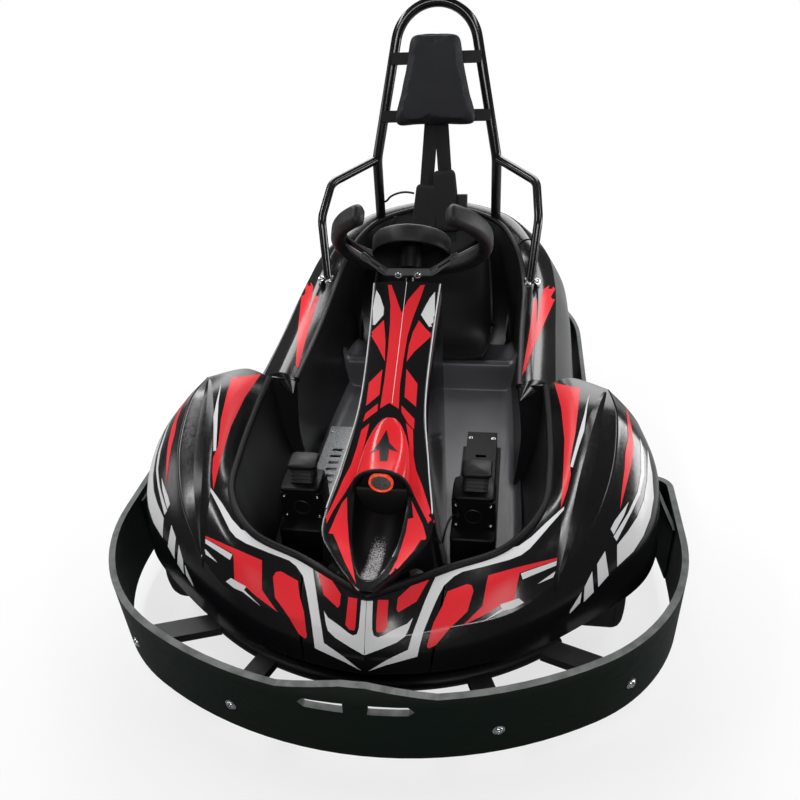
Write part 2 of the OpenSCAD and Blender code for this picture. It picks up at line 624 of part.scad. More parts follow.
// Side guard from the hoop's shoulder to a foot on the pod's flange
guard_d = 26;
guard_run = [
    [hoop_x + 11.9, hoop_y - 14.7, hoop_shoulder_z - 4], [318, 560, 690], [326, 420, 625], [308, 352, 462]
];
module arm_guards() {
    color("#0c0d0e") both() {
        tube_run(guard_run, guard_d);
        translate(guard_run[3] - [0, 0, 6]) cylinder(h = 10, r = 19);
    }
}
module headrest_plates() {
    // Rows: distance up the hoop's lean, half width, height of the plate
    rows = [[128, 172, 36], [296, 140, 36]];
    color("#0c0d0e") for (r = rows)
        translate(hoop_point(0, r[0])) rotate([-hoop_lean, 0, 0])
            translate([-r[1], -hoop_d / 2 - 5.5, -r[2] / 2]) cube([2 * r[1], 5, r[2]]);
}
pad_t = 42;
module headrest_pad() {
    // Corners: half width, distance up the hoop's lean, corner radius
    corners = [[138, 92, 26], [78, 366, 26]];
    color("#16181c") translate(hoop_point(0, 0)) rotate([90 - hoop_lean, 0, 0])
        translate([0, 0, hoop_d / 2 + 6]) hull() both()
            for (c = corners) translate([c[0] - c[2], c[1] + (c[1] < 200 ? c[2] : -c[2]), 0])
                cylinder(h = pad_t, r = c[2], $fn = 32);
}
// Harness: two shoulder straps from under the lower headrest plate to the seat, each with a pad
harness_top = hoop_point(0, 107) + 19 * [0, -cos(hoop_lean), sin(hoop_lean)];
harness_low = [0, 627.8, 470];
function harness_at(t) = harness_low + (harness_top - harness_low) * t;
module harness() {
    color("#0b0b0d") {
        // Rows: x of a strap at its top, x at the seat
        for (x = [[-14, -46], [18, 44]]) hull() {
            translate([x[0] - 22, harness_top[1], harness_top[2] - 3]) cube([44, 3, 3]);
            translate([x[1] - 22, harness_low[1], harness_low[2]]) cube([44, 3, 3]);
        }
        for (x = [[-34, -44], [28, 40]]) hull() {
            translate(harness_at(0.62) + [x[0] - 30, -14.4, 0]) cube([60, 14, 3]);
            translate(harness_at(0.12) + [x[1] - 34, -14.4, 0]) cube([68, 14, 3]);
        }
        translate(harness_at(0.25) + [70.4, -20, 0]) cube([34, 22, 62]);
    }
}

// Pedals: rows are the middle x of the accelerator and of the brake
accelerator_x = -218;
brake_x = 186;
rail_w = 84;
rail_y = [front_axle_y + 108, front_axle_y + 464];
rail_h = 36;
rail_flange = 11;
box_w = 112;
box_y = [front_axle_y - 6, front_axle_y + 92];
box_z = [floor_top + seat_c, 226];
module pedal_unit(x) {
    translate([x, 0, 0]) {
        // Housing with its sloping front
        translate([-box_w / 2, 0, 0]) rotate([90, 0, 90]) linear_extrude(box_w)
            polygon([[box_y[0], box_z[0]], [box_y[1], box_z[0]], [box_y[1], box_z[1]],
                [box_y[0] + 24, box_z[1]], [box_y[0], box_z[1] - 60]]);
        // Lip plate on the housing and the stem of the foot pad
        translate([-box_w / 2 - 3, box_y[0] + 22, box_z[1]]) cube([box_w + 6, 72, 12]);
        translate([-24, box_y[1] - 44, box_z[1] + 12]) cube([48, 26, 16]);
        // Ribbed foot pad, leaning towards the driver
        translate([0, box_y[1] - 34, box_z[1] + 26]) rotate([-24, 0, 0]) {
            translate([-38, -8, 0]) cube([76, 16, 62]);
            for (k = [0:3]) translate([-32, -13, 10 + 12 * k]) cube([64, 6, 5]);
            translate([-44, -15, 62]) cube([88, 34, 12]);
        }
    }
}
module pedal_rail(x) {
    translate([x, 0, floor_top + seat_c]) difference() {
        union() {
            translate([-rail_w / 2 - rail_flange, rail_y[0] - 10, 0])
                cube([rail_w + 2 * rail_flange, rail_y[1] - rail_y[0] - 20, 8]);
            translate([-rail_w / 2, rail_y[0], 0]) cube([rail_w, rail_y[1] - rail_y[0], rail_h]);
        }
        translate([-rail_w / 2 + 3, rail_y[0] - 1, 8])
            cube([rail_w - 6, rail_y[1] - rail_y[0] - 2, rail_h - 11]);
        for (k = [0:5]) translate([-14, rail_y[1] - 106 - 26 * k, rail_h - 6]) cube([28, 9, 8]);
    }
}
module accelerator_pedal() { color("#0e0f10") pedal_unit(accelerator_x); }
module accelerator_rail() { color("#a9abb0") pedal_rail(accelerator_x); }
module brake_pedal() { color("#0e0f10") pedal_unit(brake_x); }
module brake_rail() { color("#141517") pedal_rail(brake_x); }
// Leads, each a tube swept along its points: one from the brake housing to the console,
// one from the hoop's leg to the harness
pedal_cable_d = 5;
pedal_cable_points = [
    [150, -462, 239.8], [144, -478, 262], [137, -498, 267], [128, -515, 247], [121.9, -524, 218]
];
belt_cable_d = 7;
belt_cable_points = [
    [-174.7, 696.5, 584], [-166, 686, 592], [-149, 666, 612], [-122, 656, 626], [-95, 656, 629], [-71, 659, 624]
];
module swept_tube(points, d, n) {
    m = 8;
    path = [for (i = [0:n]) spline(points, (len(points) - 1) * i / n)];
    ring = [for (i = [0:n])
        let (t = unit(pick(path, i + 1) - pick(path, i - 1)), a = unit(cross(t, [0.3, 1, 0.2])), b = cross(t, a))
        [for (k = [0:m - 1]) path[i] + d / 2 * (cos(360 * k / m) * a + sin(360 * k / m) * b)]];
    faces = concat(
        [for (i = [0:n - 1]) for (k = [0:m - 1])
            [i * m + k, i * m + (k + 1) % m, (i + 1) * m + (k + 1) % m, (i + 1) * m + k]],
        [[for (k = [m - 1:-1:0]) k], [for (k = [0:m - 1]) n * m + k]]);
    polyhedron([for (r = ring) each r], faces);
}
module pedal_cable() { color("#0b0b0c") swept_tube(pedal_cable_points, pedal_cable_d, 12); }
module belt_cable() { color("#0b0b0c") swept_tube(belt_cable_points, belt_cable_d, 12); }

// Steering: the column's own frame has its Z along the column, up towards the driver

wheel_y = front_axle_y + 544;
wheel_z = 697;
hub_drop = 84;
column_foot_z = 142;
column_run = (wheel_z - column_foot_z) / sin(column_slope);
column_foot_y = wheel_y - column_run * cos(column_slope);
// In this frame X is to the side, Y is up along the wheel's face and Z points at the driver
module column_frame(t) {
    translate([0, wheel_y - t * cos(column_slope), wheel_z - t * sin(column_slope)])
        rotate([column_slope - 90, 0, 0]) rotate([0, 0, 180]) children();
}
module steering_column() {
    color("#1a1b1d") {
        column_frame(column_run) cylinder(h = column_run - hub_drop - 2, d = column_d);
        column_frame(hub_drop + 16) cylinder(h = 12, r = 20);
        column_frame(hub_drop + 5) cylinder(h = 5, r = 30);
    }
}
// Gearbox at the column's foot: it turns the upright shaft of the drop arm
box_half = 42;
module steering_box() {
    top = floor_top + seat_c + 66;
    color("#2a2c2f") difference() {
        translate([-box_half, column_foot_y - box_half - 6, floor_top + seat_c])
            cube([2 * box_half, 2 * box_half + 12, 66]);
        column_frame(column_run) translate([0, 0, -4]) cylinder(h = 200, r = column_d / 2 + run_c);
        translate([0, column_foot_y, 0]) cylinder(h = floor_top + 20, r = shaft_d / 2 + run_c);
    }
}
shaft_d = 24;
// The drop arm is as long as the knuckles' arms, so the rods stay parallel to themselves
module drop_arm() {
    color("#4a4d50") {
        translate([0, column_foot_y, drop_z]) cylinder(h = floor_top + 16 - drop_z, d = shaft_d);
        translate([-12, column_foot_y - arm_l, drop_z]) cube([24, arm_l, 8]);
        translate([-link_x - 11, column_foot_y - arm_l - 11, drop_z]) cube([2 * link_x + 22, 22, 8]);
        both() translate([link_x, column_foot_y - arm_l, drop_z]) cylinder(h = 26, d = pin_d);
    }
}
// Bent plate: a flat middle on the hub and two arms that rise to the rim
spoke_t = 5;
spoke_rise = 34.5;
spoke_bend_x = 52;
spoke_depth = [-30, 14];
module steering_spokes() {
    tip_x = sqrt(pow(wheel_r - grip_w / 2 - seat_c, 2) - pow(spoke_depth[0] + 9, 2));
    tip_z = (tip_x - spoke_bend_x) * tan(spoke_rise);
    lift = spoke_t / cos(spoke_rise);
    bend_in = spoke_bend_x + spoke_t * tan(spoke_rise) - lift * sin(spoke_rise);
    right = [[spoke_bend_x, 0], [tip_x, tip_z], [tip_x, tip_z + lift], [bend_in, spoke_t]];
    left = [for (i = [3:-1:0]) [-right[i][0], right[i][1]]];
    color("#8a8c90") column_frame(hub_drop - seat_c) difference() {
        translate([0, spoke_depth[1], 0]) rotate([90, 0, 0]) linear_extrude(spoke_depth[1] - spoke_depth[0])
            polygon(concat(right, left));
        // Outside the hub the arms are narrower, with a slot along each
        both() {
            translate([70, spoke_depth[0] - 1, -50]) cube([200, 10, 300]);
            translate([66, -10, -50]) cube([46, 9, 300]);
            translate([32, -18, -1]) cylinder(h = spoke_t + 2, d = 9);
        }
    }
}
rim_gap_a = 33;
grip_w = 36;
grip_h = 54;
module steering_rim() {
    color("#101113") column_frame(0) rotate([0, 0, 90 + rim_gap_a])
        rotate_extrude(angle = 360 - 2 * rim_gap_a, $fn = 96) translate([wheel_r, 0]) {
            square([grip_w, grip_h - grip_w], center = true);
            for (s = [-1, 1]) translate([0, s * (grip_h - grip_w) / 2]) circle(d = grip_w);
        }
}
module steering_pad() {
    pad_r = 100;
    pad_h = 48;
    stand = hub_drop - spoke_t - 2 * seat_c;
    color("#151618") column_frame(stand) {
        difference() {
            translate([0, 0, stand - pad_h + 6]) cylinder(h = pad_h, r = pad_r);
            translate([0, 0, stand - pad_h + 5]) cylinder(h = pad_h - 7, r = pad_r - 6);
        }
        cylinder(h = stand, r = 28);
    }
}

// Front knuckles, tie rods and wheels

stub_d = 20;
arm_z = 108;
drop_z = 32;
rod_z = 47;
rod_d = 12;
pin_d = 10;
link_x = 14;
link_y = front_axle_y - arm_l;
module knuckle() {
    boss = [yoke_z[1] + 0.3, yoke_z[2] - 0.3];
    color("#4a4d50") {
        translate([kingpin_x, front_axle_y, boss[0]]) cylinder(h = boss[1] - boss[0], r = 17);
        translate([kingpin_x, front_axle_y, yoke_z[0] - 8])
            cylinder(h = yoke_z[3] - yoke_z[0] + 16, d = kingpin_d);
        translate([kingpin_x, front_axle_y, axle_z]) rotate([0, 90, 0])
            cylinder(h = front_wheel_x - kingpin_x + 40, d = stub_d);
        translate([kingpin_x, front_axle_y, axle_z]) rotate([0, 90, 0]) cylinder(h = 34, d = 30);
        translate([kingpin_x - 9, link_y - 9, arm_z - 5]) cube([link_x + 18, arm_l + 9, 10]);
        translate([kingpin_x + link_x, link_y, rod_z - 8]) cylinder(h = arm_z + 5 - rod_z + 8, d = pin_d);
    }
}
module knuckle_left() { knuckle(); }
module knuckle_right() { mirror([1, 0, 0]) knuckle(); }
module tie_rod() {
    inner = [link_x, column_foot_y - arm_l, rod_z];
    outer = [kingpin_x + link_x, link_y, rod_z];
    color("#6a6d70") difference() {
        union() {
            translate(outer - [0, 0, 6.5]) cylinder(h = 13, r = 13);
            bar(inner, outer, rod_d);
            translate(inner - [0, 0, 6.5]) cylinder(h = 13, r = 11);
        }
        translate(outer - [0, 0, 20]) cylinder(h = 40, r = pin_d / 2 + 1.5);
        translate(inner - [0, 0, 20]) cylinder(h = 40, r = pin_d / 2 + run_c);
    }
}
module tie_rod_left() { tie_rod(); }
module tie_rod_right() { mirror([1, 0, 0]) tie_rod(); }

// Turned wheel parts, profile radius along X and wheel axis along Y
module tyre_solid(w) {
    r = tyre_d / 2;
    round_r = 22;
    rotate_extrude($fn = 96) {
        translate([rim_d / 2, -w / 2 + 8]) square([r - round_r - rim_d / 2, w - 16]);
        translate([rim_d / 2 + 10, -w / 2]) square([r - round_r - rim_d / 2 - 10, w]);
        translate([r - round_r - 8, -w / 2 + round_r]) square([round_r + 8, w - 2 * round_r]);
        for (s = [-1, 1]) translate([r - round_r, s * (w / 2 - round_r)]) circle(r = round_r);
    }
}
module rim_solid(w, bore, hub_l) {
    difference() {
        union() {
            rotate_extrude($fn = 96) {
                translate([rim_d / 2 - 5 - seat_c, -w / 2 + 4]) square([5, w - 8]);
                for (s = [-1, 1]) translate([rim_d / 2 - 5 - seat_c, s * (w / 2 - 2) - 2]) square([8, 4]);
            }
            translate([0, 0, -3]) cylinder(h = 6, r = rim_d / 2 - 3);
            translate([0, 0, -hub_l / 2]) cylinder(h = hub_l, r = 24);
        }
        translate([0, 0, -w]) cylinder(h = 2 * w, r = bore);
        for (k = [0:4]) rotate([0, 0, 72 * k]) translate([44, 0, -10]) cylinder(h = 20, r = 11);
    }
}
module at_wheel(x, y) { translate([x, y, axle_z]) rotate([0, 90, 0]) children(); }
module front_rim_left() {
    color("#b9bcc0") at_wheel(front_wheel_x, front_axle_y) rim_solid(front_tyre_w, stub_d / 2 + run_c, 50);
}
module front_rim_right() { mirror([1, 0, 0]) front_rim_left(); }
module front_tyre_left() { color("#0e0e0f") at_wheel(front_wheel_x, front_axle_y) tyre_solid(front_tyre_w); }
module front_tyre_right() { mirror([1, 0, 0]) front_tyre_left(); }
module rear_axle() {
    disc_x = -150;
    color("#77797c") {
        at_wheel(0, rear_axle_y) translate([0, 0, -rear_wheel_x - 30]) cylinder(h = 2 * rear_wheel_x + 60, d = axle_d);
        at_wheel(disc_x, rear_axle_y) difference() {
            translate([0, 0, -4]) cylinder(h = 8, r = 74);
            for (k = [0:5]) rotate([0, 0, 60 * k]) translate([46, 0, -6]) cylinder(h = 12, r = 9);
        }
        at_wheel(disc_x, rear_axle_y) translate([0, 0, -14]) cylinder(h = 28, r = 26);
    }
}
module rear_rims() {
    color("#b9bcc0") both() at_wheel(rear_wheel_x, rear_axle_y) rim_solid(rear_tyre_w, axle_d / 2, 40);
}
module rear_tyres() { color("#0e0e0f") both() at_wheel(rear_wheel_x, rear_axle_y) tyre_solid(rear_tyre_w); }

main_rails();
cross_tubes();
kingpin_yokes();
bumper_carrier();
front_bumper();
rear_bumper();
floor_pan();
cockpit_walls();
front_bulkhead();
seat_bulkhead();
front_fender_left();
front_fender_right();
nose_panel();
side_pod_left();
side_pod_right();
rear_cowl();
steering_console();
button_scoop();
start_button();
seat();
roll_hoop();
arm_guards();
headrest_plates();
headrest_pad();
harness();
accelerator_pedal();
accelerator_rail();
brake_pedal();
brake_rail();
pedal_cable();
belt_cable();
battery_packs();
drive_motor();
axle_bearings();
steering_box();
drop_arm();
steering_column();
steering_spokes();
steering_rim();
steering_pad();
knuckle_left();
knuckle_right();
tie_rod_left();
tie_rod_right();
front_rim_left();
front_tyre_left();
front_rim_right();
front_tyre_right();
rear_axle();
rear_rims();
rear_tyres();
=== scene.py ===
# %% [markdown]
# # Electric go-kart
# The CAD frame gives every solid its true place. This lesson dresses it: the moulded body is worked out
# again as finer surfaces from the same tables of sections, tubes are swept along their routes, vinyl shapes
# are laid on the panels, and every surface gets a procedural finish. All sizes below are in millimetres.

# %% Frame and the CAD box
import json
import math

import bmesh
import bpy
import numpy as np
from mathutils import Matrix, Vector
from mathutils.geometry import delaunay_2d_cdt


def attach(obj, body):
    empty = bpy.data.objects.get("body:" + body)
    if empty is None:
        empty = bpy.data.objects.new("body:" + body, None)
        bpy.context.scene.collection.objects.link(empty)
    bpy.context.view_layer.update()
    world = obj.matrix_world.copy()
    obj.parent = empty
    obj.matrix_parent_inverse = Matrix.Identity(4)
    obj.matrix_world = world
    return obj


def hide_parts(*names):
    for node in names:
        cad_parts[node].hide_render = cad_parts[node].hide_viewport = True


MM = 0.001
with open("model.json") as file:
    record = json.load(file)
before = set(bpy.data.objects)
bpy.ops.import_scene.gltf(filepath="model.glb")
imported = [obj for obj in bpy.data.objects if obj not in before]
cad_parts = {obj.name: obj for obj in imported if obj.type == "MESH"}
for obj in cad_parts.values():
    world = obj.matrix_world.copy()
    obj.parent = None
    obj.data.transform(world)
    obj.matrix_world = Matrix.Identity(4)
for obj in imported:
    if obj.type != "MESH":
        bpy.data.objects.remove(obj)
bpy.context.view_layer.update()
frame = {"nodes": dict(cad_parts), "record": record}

# %% [markdown]
# ## Camera
# The picture is taken from above the nose, a little to the driver's left. The place and the three turns
# were found once from points that lie symmetrically on the body, and the lens follows from the focal
# length in pixels. The camera could be turned by three angles; a matrix of its axes leaves no doubt about
# their order.

# %% Camera
PHOTO_SIZE = 800
FOCAL_PX = 760.07
CAMERA_AT = np.array([259.97, -1762.32, 1415.86])
CAMERA_YAW = math.radians(9.8174)
CAMERA_PITCH = math.radians(-33.0915)
CAMERA_ROLL = math.radians(-3.4540)


def unit(vectors):
    """Vectors along the last axis, each divided by its length."""
    vectors = np.asarray(vectors, float)
    return vectors / np.maximum(np.linalg.norm(vectors, axis=-1, keepdims=True), 1e-9)


def camera_axes():
    """Forward from yaw and pitch; right is forward x up, level; both are then rolled about forward."""
    flat = math.cos(CAMERA_PITCH)
    forward = np.array([-math.sin(CAMERA_YAW) * flat, math.cos(CAMERA_YAW) * flat, math.sin(CAMERA_PITCH)])
    level = unit(np.cross(forward, [0, 0, 1]))
    top = np.cross(level, forward)
    right = level * math.cos(CAMERA_ROLL) + top * math.sin(CAMERA_ROLL)
    up = top * math.cos(CAMERA_ROLL) - level * math.sin(CAMERA_ROLL)
    return right, up, forward


def placed(right, up, back, at):
    """Object matrix from its three axes and its place in metres."""
    turn = np.eye(4)
    turn[:3, :3] = np.stack([right, up, back], axis=1)
    turn[:3, 3] = at
    return Matrix(turn.tolist())


RIGHT, UP, FORWARD = camera_axes()
lens = bpy.data.cameras.new("photo_camera")
lens.sensor_width = 36
lens.lens = FOCAL_PX / PHOTO_SIZE * lens.sensor_width
camera = bpy.data.objects.new("photo_camera", lens)
bpy.context.scene.collection.objects.link(camera)
camera.matrix_world = placed(RIGHT, UP, -FORWARD, CAMERA_AT * MM)
bpy.context.scene.camera = camera
print("lens", round(lens.lens, 2), "mm")

# %% [markdown]
# ## Studio
# Product pictures like this one are lit by large soft lamps in a white room. A pale floor takes the shadow,
# the world is white to the camera but only a faint light, and wide lamps give gloss its long highlights.
# Shaders are trees of nodes. A few helpers make a node, set its inputs and link the outputs of other nodes.


# %% Shader node helpers
def node_material(name):
    """A new material with its node tree and its Principled shader."""
    material = bpy.data.materials.new(name)
    material.use_nodes = True
    tree = material.node_tree
    return material, tree, tree.nodes["Principled BSDF"]


def feed(tree, node, inputs):
    """Gives each input of a node a value, or a link where an output is given."""
    for key, value in inputs.items():
        if isinstance(value, bpy.types.NodeSocket):
            tree.links.new(value, node.inputs[key])
        else:
            node.inputs[key].default_value = value
    return node


def add_node(tree, kind, inputs, **settings):
    """A new shader node of a kind, with its settings and its inputs."""
    node = tree.nodes.new("ShaderNode" + kind)
    for key, value in settings.items():
        setattr(node, key, value)
    return feed(tree, node, inputs)


def source(tree, kind, name):
    """One output of a node that needs no inputs, such as texture coordinates."""
    return add_node(tree, kind, {}).outputs[name]


def worked_out(tree, operation, *values):
    """Result of a calculation on values or outputs."""
    return add_node(tree, "Math", dict(enumerate(values)), operation=operation).outputs[0]


def carried(tree, value, start, end, low=0.0, high=1.0):
    """A value carried from start and end to low and high, held at them outside."""
    limits = {"Value": value, "From Min": start, "From Max": end, "To Min": low, "To Max": high}
    return add_node(tree, "MapRange", limits).outputs["Result"]


def ramp(tree, value, stops):
    """Colour ramp between two (place, colour) stops."""
    node = add_node(tree, "ValToRGB", {"Fac": value})
    for element, (place, colour) in zip(node.color_ramp.elements, stops):
        element.position = place
        element.color = (*colour, 1)
    return node.outputs["Color"]


def object_axes(tree):
    """The three coordinates of a point in the kart's frame, in metres."""
    return add_node(tree, "SeparateXYZ", {0: source(tree, "TexCoord", "Object")}).outputs


print("shader helpers ready")

# %% [markdown]
# The floor could be a shadow catcher or a plain lit plane. Here a glow is mixed in for camera rays only
# and grows with the distance, so the backdrop is white while the shadow under the kart stays soft.

# %% Floor, world and lamps
FLOOR_HALF = 40.0
FLOOR_UNSEEN = (0.34, 0.34, 0.34)
FLOOR_SEEN = (0.88, 0.88, 0.88)
GLOW_REACH = (1.0, 3.2)
GLOW_NEAR = 0.72
WORLD_FAINT = 0.1
# Columns: name, place, aim, width and length in metres, watts
LAMPS = [
    ("left_strip", (-1.9, 0.4, 2.8), (0, 0, 0.3), (0.3, 3.0), 44),
    ("right_strip", (1.9, 0.4, 2.8), (0, 0, 0.3), (0.3, 3.0), 26),
    ("back_wall", (-0.3, 4.0, 3.0), (0, 0, 0.2), (4.4, 3.0), 210),
    ("left_wall", (-3.4, 0.2, 1.4), (0, 0, 0.4), (0.7, 3.2), 18),
    ("right_wall", (3.4, 0.8, 0.8), (0, 0, 0.3), (0.9, 2.4), 60),
    ("front_fill", (0.3, -3.8, 3.0), (0, 0, 0.3), (2.6, 0.8), 60)]


def build_floor():
    """A square, pale to the camera: it glows fully far away and takes the kart's soft shadow near it."""
    mesh = bpy.data.meshes.new("studio_floor")
    corners = np.array([[-1, -1, 0], [1, -1, 0], [1, 1, 0], [-1, 1, 0]]) * FLOOR_HALF
    mesh.from_pydata(corners.tolist(), [], [[0, 1, 2, 3]])
    material, tree, shader = node_material("pale_floor")
    by_camera = source(tree, "LightPath", "Is Camera Ray")
    tone = ramp(tree, by_camera, [(0.0, FLOOR_UNSEEN), (1.0, FLOOR_SEEN)])
    feed(tree, shader, {"Base Color": tone, "Roughness": 0.9})
    place = source(tree, "TexCoord", "Object")
    away = add_node(tree, "VectorMath", {0: place}, operation="LENGTH").outputs["Value"]
    glowing = worked_out(tree, "MULTIPLY", by_camera, carried(tree, away, *GLOW_REACH, GLOW_NEAR))
    glow = source(tree, "Emission", "Emission")
    mix = add_node(tree, "MixShader", {0: glowing, 1: shader.outputs[0], 2: glow})
    feed(tree, tree.nodes["Material Output"], {"Surface": mix.outputs[0]})
    mesh.materials.append(material)
    floor = bpy.data.objects.new("studio_floor", mesh)
    bpy.context.scene.collection.objects.link(floor)


def build_world():
    """White at strength 1 to the camera and through glass, a faint light on every surface."""
    world = bpy.data.worlds.new("white_room")
    world.use_nodes = True
    tree = world.node_tree
    path = add_node(tree, "LightPath", {})
    seen = worked_out(tree, "MAXIMUM", path.outputs["Is Camera Ray"], path.outputs["Is Transmission Ray"])
    strength = carried(tree, seen, 0.0, 1.0, WORLD_FAINT)
    feed(tree, tree.nodes["Background"], {"Color": (1, 1, 1, 1), "Strength": strength})
    bpy.context.scene.world = world


def soft_lamp(name, at, aim, size, watts):
    """A rectangular area lamp at a place in metres, its -Z axis turned towards the aim."""
    data = bpy.data.lights.new(name, "AREA")
    data.shape = "RECTANGLE"
    data.size, data.size_y = size
    data.energy = watts
    lamp = bpy.data.objects.new(name, data)
    back = unit(np.array(at, float) - np.array(aim, float))
    side = unit(np.cross([0.01, 1, 0], back))
    lamp.matrix_world = placed(side, np.cross(back, side), back, at)
    lamp.visible_camera = False
    bpy.context.scene.collection.objects.link(lamp)


build_floor()
build_world()
for row in LAMPS:
    soft_lamp(*row)
bpy.context.scene.view_settings.view_transform = "Standard"
print("lamps:", len(bpy.data.lights))

# %% [markdown]
# ## Finishes
# Each finish is a Principled shader whose colour, roughness and bump come from noise at the real scale of
# the surface. Images could do it, but noise needs no unwrapping and never repeats. Patterns read Object
# coordinates, which are metres in the kart's frame, so they hold in any view.


# %% Finish helpers
def grain(tree, scale, detail=4.0, stretch=(1, 1, 1)):
    """Noise from 0 to 1: scale counts its cells per metre, stretch thins it along an axis."""
    mapping = add_node(tree, "Mapping", {"Vector": source(tree, "TexCoord", "Object"), "Scale": stretch})
    at = mapping.outputs["Vector"]
    return add_node(tree, "TexNoise", {"Vector": at, "Scale": scale, "Detail": detail}).outputs["Fac"]


def spread(tree, value, low, high):
    """Noise, which mostly lies between 0.3 and 0.7, spread over low to high."""
    return carried(tree, value, 0.3, 0.7, low, high)


def bump(tree, shader, height, depth):
    """Bump of a depth in metres on the shader's normal."""
    node = add_node(tree, "Bump", {"Height": height, "Distance": depth, "Strength": 1.0})
    feed(tree, shader, {"Normal": node.outputs["Normal"]})


def finish_of(name, dark, light, rough, mottle, grain_size, depth, metallic=0.0, gloss=0.5):
    """Colour from dark to light over slow noise; fine noise gives roughness and a bump, in millimetres."""
    material, tree, shader = node_material(name)
    slow = grain(tree, mottle, 5.0)
    fine = grain(tree, 1 / (grain_size * MM), 3.0)
    feed(tree, shader, {"Base Color": ramp(tree, slow, [(0.3, dark), (0.72, light)]),
                        "Roughness": spread(tree, fine, *rough), "Metallic": metallic,
                        "Specular IOR Level": gloss})
    bump(tree, shader, fine, depth * MM)
    return material


print("finish helpers ready")

# %% [markdown]
# Paint, plastic and metal are never one flat tone, so every finish runs between a dark and a light
# colour. The blacks differ in gloss: panels and tubes mirror the lamps, the tub is satin, the seat and
# the rubber are dull. A row holds the two colours, the range of roughness, the mottling in cells per
# metre, the grain's size and depth in millimetres, and where needed the metallic share and the specular
# level.

# %% Painted, moulded and metal finishes
GLOSS_BLACK = finish_of("gloss_black_panel", (0.004, 0.004, 0.005), (0.008, 0.008, 0.009),
                        (0.15, 0.22), 3, 9, 0.05)
SATIN_BLACK = finish_of("satin_black_tub", (0.007, 0.007, 0.008), (0.013, 0.013, 0.015),
                        (0.30, 0.40), 6, 1.1, 0.05)
# The tub's floor is the same black moulding as its walls. Its lighter grey is painted sheen, the light that
# its satin top catches.
TUB_FLOOR_PAINTED_SHEEN = finish_of("tub_floor_painted_sheen", (0.075, 0.075, 0.084), (0.11, 0.11, 0.122),
                       (0.32, 0.42), 6, 1.1, 0.05, 0, 0.7)
SEAT_BLACK = finish_of("seat_shell_black", (0.003, 0.003, 0.004), (0.006, 0.006, 0.007),
                       (0.42, 0.54), 6, 1.0, 0.06, 0, 0.22)
TUBE_BLACK = finish_of("powder_coated_tube", (0.004, 0.004, 0.005), (0.008, 0.008, 0.009),
                       (0.13, 0.20), 8, 3, 0.04)
FRAME_BLACK = finish_of("frame_paint", (0.006, 0.006, 0.007), (0.012, 0.012, 0.014),
                        (0.35, 0.5), 8, 2, 0.05)
RED_VINYL = finish_of("red_vinyl", (0.82, 0.024, 0.034), (0.88, 0.030, 0.042),
                      (0.28, 0.34), 5, 60, 0.01, 0, 0.3)
PALE_VINYL = finish_of("pale_grey_vinyl", (0.74, 0.74, 0.75), (0.80, 0.80, 0.81),
                       (0.28, 0.34), 5, 60, 0.01, 0, 0.3)
BLACK_VINYL = finish_of("black_vinyl", (0.004, 0.004, 0.005), (0.007, 0.007, 0.008),
                        (0.20, 0.28), 5, 60, 0.01)
RED_SCOOP = finish_of("red_moulded_scoop", (0.78, 0.020, 0.028), (0.84, 0.026, 0.036),
                      (0.14, 0.2), 5, 30, 0.02, 0, 0.4)
BRACKET_GREY = finish_of("bracket_grey", (0.085, 0.087, 0.09), (0.13, 0.132, 0.136),
                         (0.30, 0.44), 25, 1.2, 0.03, 0.3)
DARK_STEEL = finish_of("dark_bracket_steel", (0.05, 0.05, 0.055), (0.11, 0.11, 0.12),
                       (0.3, 0.44), 25, 1.2, 0.03, 0.9)
CHROME = finish_of("zinc_bolt", (0.55, 0.56, 0.58), (0.70, 0.71, 0.73),
                   (0.16, 0.28), 60, 1.0, 0.01, 1.0)
ALLOY = finish_of("cast_alloy", (0.42, 0.43, 0.45), (0.55, 0.56, 0.58),
                  (0.28, 0.4), 30, 1.2, 0.05, 1.0)
RUBBER = finish_of("tyre_rubber", (0.007, 0.007, 0.007), (0.014, 0.014, 0.013),
                   (0.62, 0.8), 14, 1.6, 0.12)
CABLE = finish_of("cable_sheath", (0.005, 0.005, 0.006), (0.009, 0.009, 0.010),
                  (0.4, 0.5), 40, 1.2, 0.03)
CASE_GREY = finish_of("battery_case", (0.06, 0.065, 0.07), (0.10, 0.105, 0.11),
                      (0.4, 0.55), 9, 1.2, 0.06)
MOTOR_GREY = finish_of("motor_housing", (0.13, 0.135, 0.14), (0.19, 0.195, 0.2),
                       (0.38, 0.5), 16, 1.5, 0.12, 0.7)
FOAM_COVER = finish_of("headrest_foam", (0.006, 0.0065, 0.009), (0.011, 0.012, 0.016),
                       (0.55, 0.68), 10, 1.6, 0.14, 0, 0.35)
GRIP_FOAM = finish_of("wheel_grip_foam", (0.004, 0.004, 0.005), (0.012, 0.012, 0.013),
                      (0.42, 0.60), 30, 1.6, 0.16, 0, 0.4)
print("finishes so far:", len(bpy.data.materials))

# %% [markdown]
# The bumper bands are thick polyethylene with a green-black tone. They get scuffed, most of all along the
# upper edge. Wear could be painted by hand; here height says where it is, faces that look up get a painted
# highlight, and noise streaks break both up. The pocket in front of the button has a moulded grain, and the
# light that its grain catches is painted as pale specks.

# %% Bumper and pocket finishes
EDGE_WEAR_Z = (0.205, 0.262)
EDGE_WEAR = 0.10
TOP_HIGHLIGHT_TILT = (0.45, 0.9)
GLINTS_Y = (-0.545, -0.64)
GLINTS_X = (0.030, 0.010)


